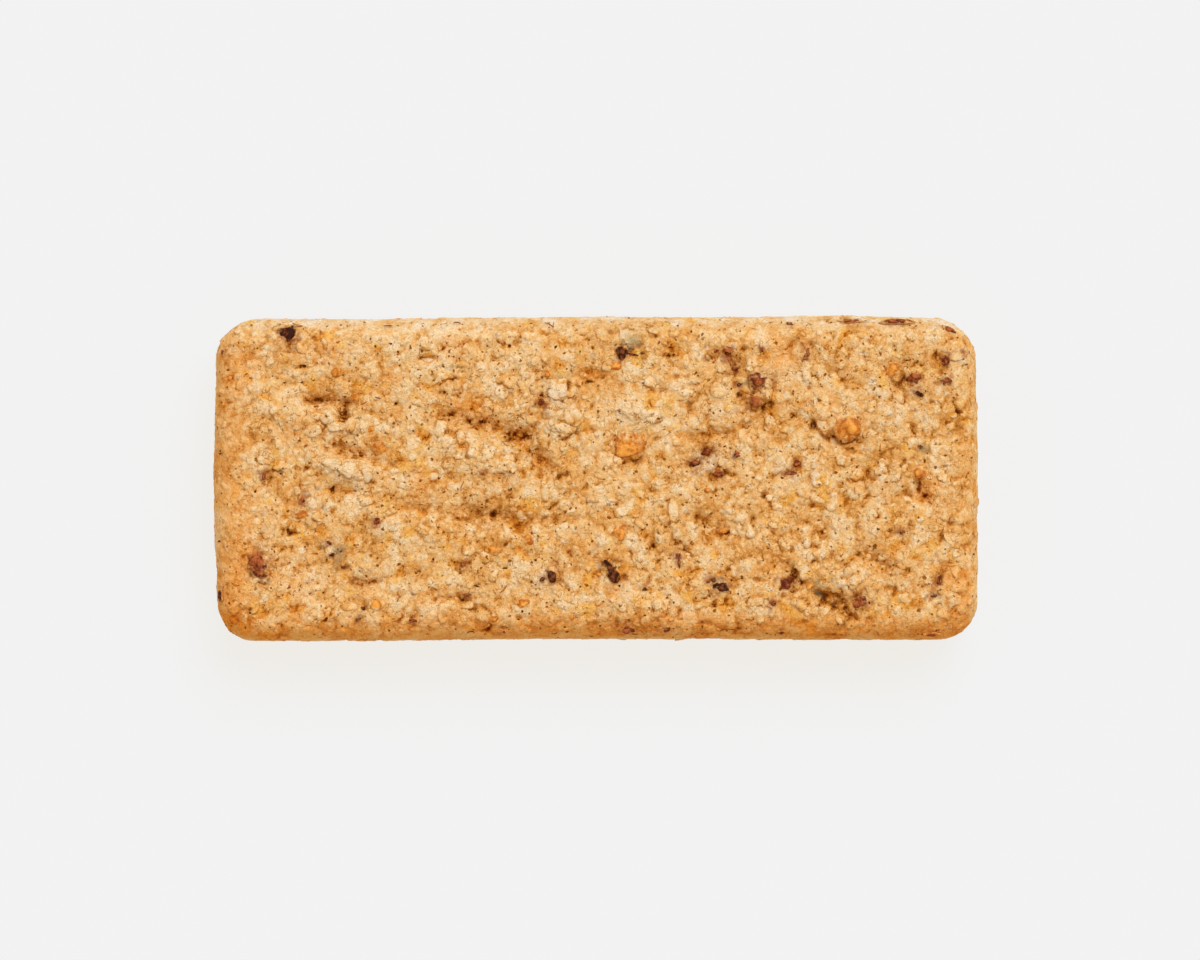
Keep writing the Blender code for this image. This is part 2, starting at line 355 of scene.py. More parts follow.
# Broad mounds, as in the solid, with their height last
mounds = (
    (-36.4, 7, 10, 4, -18, 0.55), (-30.6, 0.9, 9, 2.8, -20, 0.6), (-14.6, 2.6, 11, 4.4, -8, 0.55),
    (-22.6, -7.2, 7, 4.4, 10, 0.4), (-13.4, -7.6, 9, 3.2, 0, 0.35), (-3.6, 7.2, 5.4, 5, 0, 0.4),
    (5.4, 8.4, 7.4, 3.8, -8, 0.4), (2, -16, 22, 2.8, 0, 0.28), (-25, 16, 18, 4.6, 0, 0.25),
    (28.2, 7.6, 2.6, 4.4, 8, 0.4), (35.4, 8.6, 4.6, 4, 0, 0.4), (30.8, -11.8, 5.6, 3.8, -18, 0.4),
    (37.4, -8.6, 6.4, 5.4, 0, 0.35), (11.6, -13.4, 6.4, 3, -24, 0.3),
)

# Narrow gaps and holes between the crumbs, with their strength last
clefts = (
    (-33, 9.6, 6, 0.6, -4, 0.85), (-31.2, 7.7, 1.4, 1.2, 0, 2), (-33.8, 5.2, 0.9, 0.5, 0, 0.5),
    (-31.6, 3.9, 3.2, 0.5, -5, 0.5), (-28.8, 2.9, 2.8, 0.5, -34, 0.6), (-27.7, 2.2, 1.6, 0.6, -5, 0.6),
    (-18.4, 7.8, 1.9, 0.7, -8, 0.9), (-17, 5.8, 1.2, 0.5, -10, 0.8), (-15.6, 6.1, 1.8, 0.5, 20, 0.6),
    (-14.3, 6.5, 1.5, 0.9, 0, 0.45), (-12.4, 6.3, 2.3, 0.6, -28, 0.6), (-10.2, 5.6, 1.6, 0.9, -10, 0.8),
    (-9, 5.3, 2.4, 0.8, -6, 0.8), (-8.2, 4.2, 0.8, 0.3, 45, 0.4), (-10.9, 4.4, 1.4, 1.2, 0, 0.5),
    (-7, 2.1, 1.9, 1.6, -60, 0.9), (14.5, -6.6, 1.8, 1.2, -30, 0.5), (-36, -4.1, 1.2, 0.8, 15, 0.4),
    (-7, 0.7, 0.5, 1.3, 0, 0.6), (-6.8, -0.1, 1, 0.4, -20, 0.8), (-6.1, -0.5, 0.9, 0.3, 70, 0.7),
    (-16.2, -5.4, 2.6, 0.6, -18, 0.7), (-12.4, -4.7, 4.4, 0.6, -10, 0.3), (-9.3, -5.9, 2, 0.7, 10, 0.6),
    (-5.6, -5.2, 4, 0.7, 12, 0.5), (-30.5, -1.7, 2.3, 0.5, 0, 0.8), (-32.5, -0.6, 1, 0.3, -30, 0.4),
    (-27, -3.5, 1.6, 0.6, -10, 0.6), (-24.1, -3.6, 1.3, 0.4, -10, 0.6), (-20.8, -4.3, 0.5, 0.9, 0, 0.6),
    (-29.9, -12.7, 1, 0.6, -20, 0.8), (-28.6, -13, 3.4, 0.7, 0, 0.6), (-27.4, -12.9, 0.8, 0.6, 0, 0.9),
    (-16.4, -15.1, 1.7, 0.4, -3, 0.6), (-2, 9.5, 0.7, 0.6, 0, 0.7), (-2.5, 10.2, 1.4, 0.3, -60, 0.4),
    (-0.8, 13, 2.2, 1.2, 0, 0.7), (2.9, 3, 1.8, 0.6, -40, 0.4), (12.6, 2, 1.4, 0.8, 20, 0.5),
    (14.6, -0.3, 1.4, 0.4, 10, 0.4), (18.9, 6.4, 2.8, 1.6, 0, 0.4), (20.6, 7.4, 0.8, 0.5, 0, 0.4),
    (13.9, 5.3, 2.2, 0.6, 4, 0.3), (10.6, 5.2, 2.2, 0.5, 0, 0.3), (29.5, 5.2, 1.1, 0.5, 0, 0.9),
    (31.3, 4.7, 1.7, 0.5, 0, 0.7), (33.7, 5.9, 0.9, 0.3, -30, 0.5), (38.2, 9.3, 0.4, 1, 0, 0.6),
    (33, 0.4, 0.6, 0.9, 0, 0.6), (34, -0.3, 0.7, 0.3, -30, 0.4), (39.8, -1.2, 0.5, 1.4, 0, 0.3),
    (40.2, -2.5, 0.5, 0.8, 20, 0.25), (35.8, -3.9, 0.6, 0.9, 0, 0.6), (34.7, -10.6, 2.4, 0.5, -36, 0.7),
    (27.3, -14.1, 1.5, 0.8, -10, 0.9), (29.2, -15.4, 2.4, 0.6, -34, 0.35), (31.2, -15.4, 1.6, 0.5, 15, 0.3),
    (20.7, -3.5, 1.7, 0.3, 20, 0.4), (22, -2.4, 1.8, 0.3, 65, 0.4), (23, -1.4, 1.5, 0.3, 15, 0.3),
    (10.7, -12.2, 1.6, 0.4, -30, 0.5), (12, -13.7, 2.2, 0.4, -62, 0.4), (7.9, -13, 2.4, 0.4, 20, 0.4),
    (36.3, 12.3, 1.8, 0.4, -56, 0.5), (-8.5, 14.1, 2.1, 0.3, -42, 0.4), (32.9, -13.9, 1.4, 0.4, -30, 0.5),
    (-21.4, 5.8, 1.6, 0.5, -35, 0.5), (-17, 6.6, 1.3, 0.8, -10, 0.6), (-16.2, 16.7, 1, 0.4, 20, 0.5),
    (3.4, 2.5, 1.6, 0.4, 0, 0.4), (15.6, -6.9, 1.2, 0.5, 0, 0.4), (22.3, 4.6, 0.8, 0.4, 0, 0.5),
    (41.4, 10.2, 0.6, 0.4, 0, 0.5), (28, 13.1, 0.8, 0.4, 35, 0.5),
)

# Pale lumps that stand up a little: x, y, length, width, turn, height
paleLumps = (
    (-32.3, 6.9, 2.8, 1.5, -15, 0.5), (-31, 1.3, 5, 2.2, -20, 0.5), (-42, 11, 3, 2.2, 0, 0.3),
    (-33.5, -3, 3, 2, 20, 0.3), (-26, -6, 3, 2.2, 0, 0.3), (-14, 2.5, 4, 2.4, 0, 0.3),
    (-11, 1, 3.4, 2, 0, 0.3), (-4, 7.5, 3, 2.4, 0, 0.3), (-4.2, 10.7, 2.4, 2, 0, 0.3),
    (-12, 13, 3, 2, 0, 0.2), (6.4, 8, 3.6, 2, -30, 0.4), (4, 8.3, 1.8, 1.6, 0, 0.3),
    (11, 10.4, 2.2, 1.2, 0, 0.3), (15.2, 10.5, 2.2, 1.8, 0, 0.3), (4, -1.5, 3.2, 2.2, 0, 0.3),
    (11, -2, 3, 2, 0, 0.3), (-7.5, -12.5, 2.4, 1.8, 0, 0.3), (3, -15.5, 4, 1.6, 0, 0.3),
    (19.5, -15.5, 3, 1.8, 0, 0.3), (-33.1, -16.8, 2.6, 2, 0, 0.5), (26.7, -11.8, 2.2, 2, 0, 0.3),
    (31.8, -12.8, 2.8, 1.8, -12, 0.4), (28, 7.2, 1.8, 3, 10, 0.3), (43.2, -14.2, 2.7, 3, 0, 0.4),
    (43.8, -8.5, 1.8, 2.5, 0, 0.3), (25.4, -2.7, 2.4, 1.5, 0, 0.3), (34.2, -7, 1.4, 2.2, 0, 0.3),
    (-18.9, 5.9, 1.3, 2.2, 0, 0.4), (-27, 12.6, 4, 2, 0, 0.2), (-22, 11.6, 3, 2.2, 0, 0.2),
    (22, 13.6, 3, 2, 0, 0.2), (8, 13, 3, 1.8, 0, 0.2), (-38.6, 7.9, 3.6, 2, -10, 0.3),
    (-19.6, -6.6, 3, 2.2, 0, 0.3), (8.8, 0.9, 2.6, 1.8, 0, 0.2), (20.4, 0.4, 2.6, 1.8, 0, 0.2),
    (37, 4.6, 2.6, 2, 0, 0.3), (30.6, -0.6, 2.4, 2.2, 0, 0.3), (-0.6, 4, 2.6, 2, 0, 0.3),
)

# Small pits, painted dark as shade: x, y, length, width, turn
pits = (
    (-38.4, 11.8, 0.5, 0.5, 0), (-36.2, 11.8, 0.6, 0.5, 0), (-35.8, 13.8, 0.6, 0.5, 0),
    (-36.6, 13.9, 1.2, 0.3, 8), (-29.5, 13.6, 0.3, 0.3, 0), (-30.4, 12.3, 0.3, 0.3, 0),
    (-28.5, 19.2, 0.4, 0.3, 0), (-27.7, 17.1, 0.3, 0.3, 0), (-38.8, 0.5, 0.4, 0.4, 0),
    (-40.5, 7.2, 0.6, 0.5, 0), (-44.2, 11, 0.4, 0.4, 0), (-46.3, 3, 0.5, 0.4, 0), (-37, 1.2, 0.5, 0.5, 0),
    (-29, 10.4, 0.6, 0.4, 0), (-24.6, 9.2, 0.5, 0.4, 0), (-24.3, 6.6, 0.7, 0.3, 0),
    (-24.3, 15.5, 0.5, 0.4, 0), (-29.7, 4.2, 0.5, 0.4, 0), (-10.6, 16.3, 0.6, 0.6, 0),
    (-12.2, 13.5, 0.5, 0.4, 0), (-10.1, 13.4, 0.7, 0.6, 0), (-11.3, 12.2, 0.5, 0.4, 0),
    (-13.2, 11.2, 0.5, 0.3, 0), (-14.8, 13.9, 0.3, 0.3, 0), (-16.5, 13.2, 0.6, 0.4, -25),
    (-18.9, 13.4, 0.3, 0.3, 0), (-17.6, 12.1, 0.4, 0.3, -30), (-17.5, 15, 0.6, 0.3, -15),
    (-16.8, 14.7, 0.3, 0.3, 0), (-7.7, 13.4, 0.6, 0.3, -20), (-0.7, 11.9, 1, 0.4, 0),
    (-19.3, 0, 0.4, 0.4, 0), (-22.7, 0.8, 0.4, 0.3, 0), (-21, 5, 0.4, 0.3, 0), (-22.1, 9.9, 0.5, 0.3, -15),
    (-18.6, 10.6, 0.6, 0.4, 0), (-1.5, 0.6, 0.2, 0.6, 0), (-0.6, 6.1, 0.2, 0.2, 0), (-14, 3.3, 0.3, 0.3, 0),
    (7.5, 17.7, 0.3, 0.5, 0), (16, 5.2, 0.4, 0.3, 0), (17, 0.5, 0.3, 0.3, 0), (20, 5, 0.3, 0.3, 0),
    (22.9, 19.2, 0.3, 0.3, 0), (33.3, 13.3, 0.9, 0.4, 15), (33.1, 14.8, 0.4, 0.3, 0),
    (27.9, 11.3, 0.7, 0.4, 0), (30.2, 11.9, 0.2, 0.2, 0), (31, 11.1, 0.3, 0.3, 0),
    (36.8, 16.3, 0.4, 0.3, 0), (36.9, 15.8, 0.3, 0.3, 0), (39.6, 14.4, 0.4, 0.3, 0),
    (38.4, 14.5, 0.8, 0.3, 0), (39.1, 8.2, 0.6, 0.3, 30), (45.7, 14, 0.7, 0.2, 0), (43.1, 2.7, 0.4, 0.4, 0),
    (44.5, 4.6, 0.2, 0.2, 0), (37.6, 0, 0.3, 0.3, 0), (35.2, 2.9, 0.3, 0.3, 0), (-39.8, -8.5, 0.3, 0.3, 0),
    (-37.7, -8.6, 0.4, 0.3, 0), (-38.8, -9, 0.3, 0.3, 0), (-28.4, -4.7, 0.4, 0.4, 0),
    (-33.6, -14.1, 0.6, 0.4, 30), (-32.6, -16.2, 0.3, 0.3, 0), (-35.5, -13.1, 0.3, 0.3, 0),
    (-32.3, -12.9, 0.4, 0.3, 0), (-45, -15.4, 0.6, 0.4, 0), (-46.4, -7.8, 0.5, 0.4, 0),
    (-42.5, -16.6, 0.5, 0.4, 0), (-10.7, -3.6, 0.9, 0.3, 20), (-8.7, -3.5, 0.7, 0.3, 35),
    (-8.8, -2.9, 0.3, 0.3, 0), (-10.3, -1.8, 0.5, 0.4, 0), (-17.1, -1.9, 0.4, 0.3, 0),
    (-1.3, -1.2, 0.8, 0.3, -15), (-20, -10, 0.4, 0.4, 0), (-22.1, -11.7, 0.4, 0.3, 0),
    (-22.4, -14.3, 0.6, 0.4, 0), (-11.1, -11.1, 0.8, 0.3, 0), (-14.6, -13.3, 0.9, 0.3, -20),
    (-10.9, -12.3, 0.3, 0.3, 0), (-4.4, -13.1, 0.6, 0.4, 0), (-3.3, -13.8, 0.3, 0.3, 0),
    (-2.3, -14, 0.5, 0.3, 0), (-11.1, -8.2, 0.4, 0.8, 0), (-3, -9.7, 0.3, 0.3, 0),
    (-0.8, -9.3, 0.4, 0.4, 0), (-11.8, -15.9, 0.4, 0.3, 0), (-9.5, -17.4, 0.4, 0.3, 0),
    (-13.4, -16.2, 0.4, 0.4, 0), (-5.4, -15.9, 0.3, 0.3, 0), (0.1, -16.8, 0.3, 0.3, 0),
    (12.5, -4.7, 0.5, 0.4, 0), (17, -3.5, 0.4, 0.3, 0), (18.6, -1.9, 0.3, 0.3, 0),
    (20.3, -6.5, 0.3, 0.6, 0), (8.7, -2.8, 0.4, 0.3, 0), (8.1, -3.5, 0.3, 0.3, 0), (6.8, -1.6, 0.5, 0.4, 0),
    (2.6, -3.3, 0.5, 0.4, 0), (1.2, -6.2, 0.2, 0.2, 0), (8.3, -9.1, 0.4, 0.4, 0), (7.2, -8.4, 0.5, 0.4, 0),
    (12.6, -11.3, 0.8, 0.3, 0), (22.9, -7.2, 0.3, 0.3, 0), (21.2, -8.7, 0.3, 0.3, 0),
    (23.3, -2.2, 0.3, 0.3, 0), (2.9, -13.3, 0.4, 0.4, 0), (8.8, -16.9, 0.3, 0.3, 0),
    (14.7, -15.8, 0.4, 0.3, 0), (17, -15.7, 0.5, 0.3, 0), (18.8, -14.3, 0.6, 0.4, 0),
    (17.5, -13.4, 0.5, 0.4, 0), (19, -9.6, 0.5, 0.4, 0), (37.2, -2.2, 0.4, 0.3, 0),
    (33.5, -2.5, 0.9, 0.4, 0), (32, -2.8, 0.3, 0.3, 0), (33.8, -5.2, 0.6, 0.4, 0),
    (34.8, -4.8, 0.3, 0.3, 0), (27.5, -5.2, 0.6, 0.3, 0), (28, -6.8, 0.4, 0.3, 0),
    (31.6, -10.1, 0.7, 0.3, 25), (32.3, -9.5, 0.4, 0.3, 0), (37.9, -8.2, 0.9, 0.3, 0),
    (38.6, -11.4, 0.3, 0.6, 0), (46.6, -9.4, 0.4, 0.4, 0), (30.7, -16.2, 0.8, 0.3, 0),
    (30.4, -0.6, 0.4, 0.3, 0), (9.6, 15.2, 0.4, 0.3, 0), (12.4, 13, 0.4, 0.3, 20),
)

# Stained patches of the crumb: x, y, length, width, turn, share
greenStains = (
    (4.6, 17.2, 3.4, 2.8, 0, 0.75), (-32, -9.2, 3.6, 3.4, 0, 0.6), (-29, -17.1, 1.6, 1.4, 0, 0.6),
    (27.5, -13.3, 3.8, 3, -20, 0.6), (40.6, 3.7, 1.8, 1.5, 0, 0.7), (-28.3, -5.5, 0.7, 0.6, 0, 0.7),
    (18.4, 11.7, 1.4, 1, 0, 0.7), (-11.2, -19.2, 1.2, 0.8, 0, 0.6), (-3.9, -18.8, 1.4, 0.5, 40, 0.6),
    (22.9, -19.3, 1.4, 0.8, 0, 0.6), (18.9, 6.6, 2.8, 1.8, 0, 0.45), (-17.4, 13.9, 1.8, 1.2, 0, 0.4),
    (1.8, -11.6, 3, 1.8, -50, 0.4), (-8.6, 9.2, 2.2, 1, 0, 0.3), (15, -13, 2.6, 1.8, 0, 0.35),
)
amberStains = (
    (-15.2, 9.1, 3.2, 2.2, -20, 0.9), (-19.3, 8.6, 2, 1.4, 0, 0.8), (-0.8, 13, 3, 2.4, -20, 0.9),
    (-23.8, 17.8, 2.2, 1.8, 0, 0.6), (-17, 16.8, 2.4, 1.6, 0, 0.5), (-5.8, 15.8, 2.6, 1.4, 0, 0.6),
    (8.3, 3, 1.8, 1, 0, 0.8), (13.8, 5.4, 3, 1.2, 0, 0.8), (10.7, 5.3, 2.4, 0.9, 0, 0.7),
    (-6.6, 2, 2.6, 2, -60, 0.8), (-4, 1.4, 3, 1.6, 0, 0.5), (-20.6, -0.8, 2.4, 1.8, 0, 0.5),
    (14.8, 0.3, 2, 1.8, 0, 0.6), (6, -13.9, 1.4, 1.2, 0, 0.6), (14.5, -6.6, 3, 2.4, 0, 0.5),
    (39.4, 12.8, 3, 2.6, 0, 0.4), (-36, -4, 2, 2.2, 0, 0.5), (35.2, 16.8, 1.4, 1, 0, 0.7),
    (-30, -15.6, 3, 2, 0, 0.4), (24, 1.2, 2.2, 2, 0, 0.4), (-44.4, -13, 3.4, 5, 0, 0.5),
    (21.6, 10.2, 3, 2.6, 0, 0.5), (-13.9, 18.8, 1.8, 1.2, 0, 0.5), (-42.6, 4.2, 2.6, 4.6, 0, 0.4),
)

# Ruddy stains round skins and fruit, in the same terms
ruddyStains = (
    (-6.3, 9.2, 2.4, 1.8, -30, 0.8), (12.3, 2.1, 2, 1.3, 35, 0.8), (13.9, 3.2, 1.8, 1, 20, 0.7),
    (14.9, 0.4, 2, 1.6, 0, 0.9), (17, 13.2, 1.8, 2, 0, 0.7), (16.2, 15.3, 1.8, 1.6, 0, 0.7),
    (23.7, -12.8, 2.4, 2, 0, 0.8), (32.2, -15, 2.6, 1.8, 0, 0.8), (-41.4, -10.8, 3.2, 3.4, 0, 0.7),
    (-40.9, -12.6, 1.4, 1.4, 0, 0.5), (20.2, 11.9, 2.8, 2.4, 0, 0.7), (3.9, -18.6, 2.4, 1.4, 0, 0.8),
    (24.2, 0.9, 2.2, 1.4, 0, 0.8), (39.2, 12.2, 2.4, 1.6, 0, 0.7), (39.9, -1.3, 0.9, 2.6, 12, 0.6),
    (-36.8, 19, 3.6, 0.8, 8, 0.7), (37.3, 19.3, 3.6, 0.9, 0, 0.5), (44.6, 18.4, 1.8, 0.8, -30, 0.7),
    (-36.4, -3, 1.4, 2.4, 0, 0.6), (15.3, -12.8, 2.6, 1.6, 0, 0.7), (-37.9, 17.4, 2.8, 2.6, 0, 0.8),
    (-9.6, 5.2, 3.6, 1.2, -12, 0.4), (3.4, 15.4, 2, 2, 0, 0.6), (-5.6, -12, 2.4, 2.6, 0, 0.5),
    (26.1, 15.4, 1.2, 2, 0, 0.5), (43.2, 13.4, 1.8, 3.6, 0, 0.5), (-33.2, 9.4, 3, 1.2, 0, 0.4),
    (28.6, -14.8, 4, 1.6, -25, 0.3), (-28.6, -12.9, 3.6, 1, 0, 0.4), (-12, 5.9, 4, 1, -20, 0.4),
    (12.4, -9.6, 2, 1.6, 0, 0.4), (8.4, -18.6, 2, 1, 0, 0.5), (-15.8, -14.6, 2, 1, 0, 0.4),
)

# Broad patches that are lighter or darker, and warmer or cooler: x, y, length, width, turn, light, warmth
tints = (
    (-27, 18, 22, 5, 0, 0.22, 0), (-20, 15.5, 7, 7, 0, 0.4, -0.2), (-40, 10.8, 7, 5, 0, 0.35, -0.4),
    (-29, 0.3, 8, 4, -20, 0.4, -0.5), (-34, -4, 5, 4, 0, 0.15, -0.2), (-25.5, -6.5, 6, 5, 0, 0.2, -0.6),
    (-37, -13.5, 6, 7, 0, 0.28, 0.9), (-15, 2.2, 11, 4, -8, 0.25, -0.2), (-31.5, 6.2, 4, 3, 0, 0.32, -0.4),
    (-3.6, 9.4, 5.5, 5, 0, 0.22, -1.1), (6, 8.8, 7, 5, 0, 0.2, -0.3), (5, -2.5, 11, 6, 0, 0.2, -0.1),
    (-18, -2, 8, 3, 0, 0.2, 0.1), (2, -15.4, 16, 3, 0, 0.2, 0.2), (37, 8.8, 6, 4, -45, 0.2, -0.7),
    (30.5, -10.8, 7, 3.4, -15, 0.35, -0.6), (36, -1, 6, 4.4, 0, 0.2, -1), (20.4, 2, 5, 3.4, 0, 0.1, 0.1),
    (-8.5, -12.5, 5, 4, 0, 0.15, -0.5), (-21, -14.6, 8, 5, 0, 0.12, 0.4), (-8, 16.5, 8, 4, 0, 0.15, 0.1),
    (28.5, 7.6, 3.4, 5, 0, 0.1, 0.4), (46, 11, 3, 9, 0, 0.2, -0.3), (-46, 8, 3, 12, 0, 0.15, 0.1),
    (-15, 8.4, 7, 3, -10, -0.2, 1.1), (-22, -0.8, 3.4, 5.6, -20, 0, 1.1),
    (-7, 3, 5.4, 3.4, -55, -0.35, -0.5), (-11, -4.8, 9, 2.8, 0, -0.22, -0.9),
    (-29, -9.6, 3.6, 5, 0, -0.6, -0.3), (-29, -17.2, 3.4, 5, 0, -0.3, 0),
    (-45.4, -15.6, 5.4, 7, 0, -0.5, 0.4), (-37.2, -3.4, 2.4, 5, 0, -0.2, 0.5),
    (-1, 12.6, 4, 3.4, 0, -0.25, 0.5), (5, 16.2, 5, 3.4, 0, -0.25, -0.3),
    (18.4, 10.4, 3.8, 8, 20, -0.22, 0.3), (22.6, 15.2, 5, 7, 0, 0.1, 1.2),
    (13.4, 2.4, 4.8, 5.8, -40, -0.3, -1.3), (31, 5.4, 5, 4, 0, -0.15, 0.4),
    (39.4, 12, 5, 3.4, 0, -0.06, 0.5), (41.4, -1.2, 4, 5, 0, -0.2, 1.2), (26, 0.2, 6, 4.6, 0, -0.3, -0.9),
    (26.4, -4.6, 4.4, 4.6, 0, -0.2, -0.5), (21, -3.4, 5, 3.4, 0, -0.2, 0), (15, -7.6, 5, 4.4, 0, -0.2, 0.5),
    (14.8, -12.6, 4.4, 4, 0, -0.35, 0.2), (21, -10.8, 4.8, 5, 0, -0.42, 0.4),
    (29.4, -16, 7, 5, -10, -0.3, -0.1), (2.4, -11, 4.4, 4, 0, -0.25, 0),
    (42.4, -11.6, 5.6, 5, 0, -0.2, 0.5), (-42.4, -10.2, 4.4, 4.4, 0, 0.04, 0.6),
    (-33, 15.6, 7, 4.4, 0, 0.05, 0.8), (-39, 18.6, 5, 3, 0, -0.2, 0.1), (14, 8, 5, 3, 0, 0, 0.7),
    (-6, 15.6, 6, 3, 0, 0, 0.4), (33.6, -9.8, 3.4, 3, 0, -0.25, 0.2), (-22.6, -3.8, 4, 3, 0, -0.15, -0.5),
    (16, 12.6, 4, 4, 0, 0, -0.7), (-17.8, 16.8, 4.4, 4.6, 0, 0, 1.1), (-25.4, 12, 4, 4, 0, -0.1, 0.8),
    (-43.5, 13, 4.4, 6, 0, 0, 0.8), (-37.5, 5.5, 6, 4, 0, 0, 0.5), (-12.5, -1.4, 5, 3.4, 0, 0, 0.5),
    (-43, -5.6, 6, 10, 0, 0, 0.5), (1.5, 9.2, 4, 5, 0, 0, 0.5), (24, -8.8, 4, 5, 0, 0.05, 0.5),
    (2, -13.6, 5, 4, 0, 0, 0.4), (22, 7.6, 4, 3.4, 0, -0.05, -1.1), (33.6, 11.6, 7, 3.4, -25, 0.05, -1),
    (41, -8.4, 5, 3.4, 20, 0, -0.4), (-11, 4.2, 7, 3, -20, 0, -1.1), (-14.5, -6.6, 8, 2.6, 0, 0, -0.6),
    (-4.4, -1.4, 4.4, 4, 0, 0, -0.5), (-32.4, -8.8, 4, 4, 0, 0, -0.9), (3.6, 18.4, 6, 3.4, 0, 0, -0.8),
    (38, -8.6, 3.4, 3, 0, 0.15, 0), (22.6, 18.6, 6, 3, 0, -0.1, 0.3), (34.6, -18.2, 5, 3, 0, 0.26, 0),
    (30, 8.6, 3, 3, 0, -0.1, 0), (38.8, 4, 4, 4.4, 0, 0, -0.5), (45.6, -14, 4, 7, 0, 0, 0.7),
    (10.6, -16.4, 6, 4, 0, 0, 0.4), (-2.4, 0.6, 6, 3, 0, -0.15, 0), (-18, 12, 4, 4, 0, 0.14, 0),
    (42.8, 3.6, 3.4, 4, 0, -0.14, 0.2),
)

crumb = {
    "lump": (5.6, 3, 0.20),  # width, salt and height of each size of crumb
    "cluster": (2.4, 41, 0.34),
    "grain": (1.15, 61, 0.25),
    "grit": (0.6, 81, 0.10),
    "hole": (1.7, 71),  # width and salt of the cells that may hold a single hole
    "wander": 0.6,  # how far the crumbs' borders stray
    "pitDepth": 0.5,
    "cleftDepth": 0.4,
    "leastPit": (0.5, 0.42),  # no pit in the relief is shorter or narrower
    "rimShare": 0.4,  # how much of the relief the rim, the sides and the underside show
    "sideShare": 0.38,
    "underShare": 0.2,
    "topnessFrom": (8.5, 11.0),  # heights between which the sides' look becomes the top's
}

waves = {  # width and salt of each noise in the crumb
    "bend": (1.5, 31), "fineBend": (0.6, 131), "rough": (9.0, 7), "patchy": (2.6, 87), "pale": (3.6, 91),
    "amber": (2.1, 93), "amberArea": (5.0, 94), "toastandshading": (3.0, 95), "aside": (5.0, 96), "ragged": (0.9, 97),
}

shades = {  # how much each thing adds to the crumb's values
    "pale": 0.295, "toneSpread": 0.85, "clusterLift": 0.26, "grainLift": 0.34, "waver": 0.30,
    "lumpLift": 1.25, "hollowShadePale": 0.30, "backPaintedLight": 0.12, "patchLift": 1.2, "sidePaintedLight": 0.30,
    "amberPatch": 0.9, "amberGrain": 0.8, "amberSeat": 0.8, "ruddySeat": 0.7, "hollowShade": 0.20,
    "pitShade": 0.65, "junctionShade": 0.55, "clusterShade": 0.32, "grainShade": 0.26, "seatShade": 0.12,
    "leftBrownShade": 0.55, "rightBrownShade": 0.30, "frontBrownShade": 0.95, "backAshenLight": 0.95, "warmBrown": 0.6,
    "underBrown": 0.75,
}


def seats(pieces):
    # the patch that each piece sits in, somewhat wider than the piece
    return [(row[0], row[1], 1.5 * row[2] + 0.8, 1.5 * row[3] + 0.8, row[4], 1.0) for row in pieces]


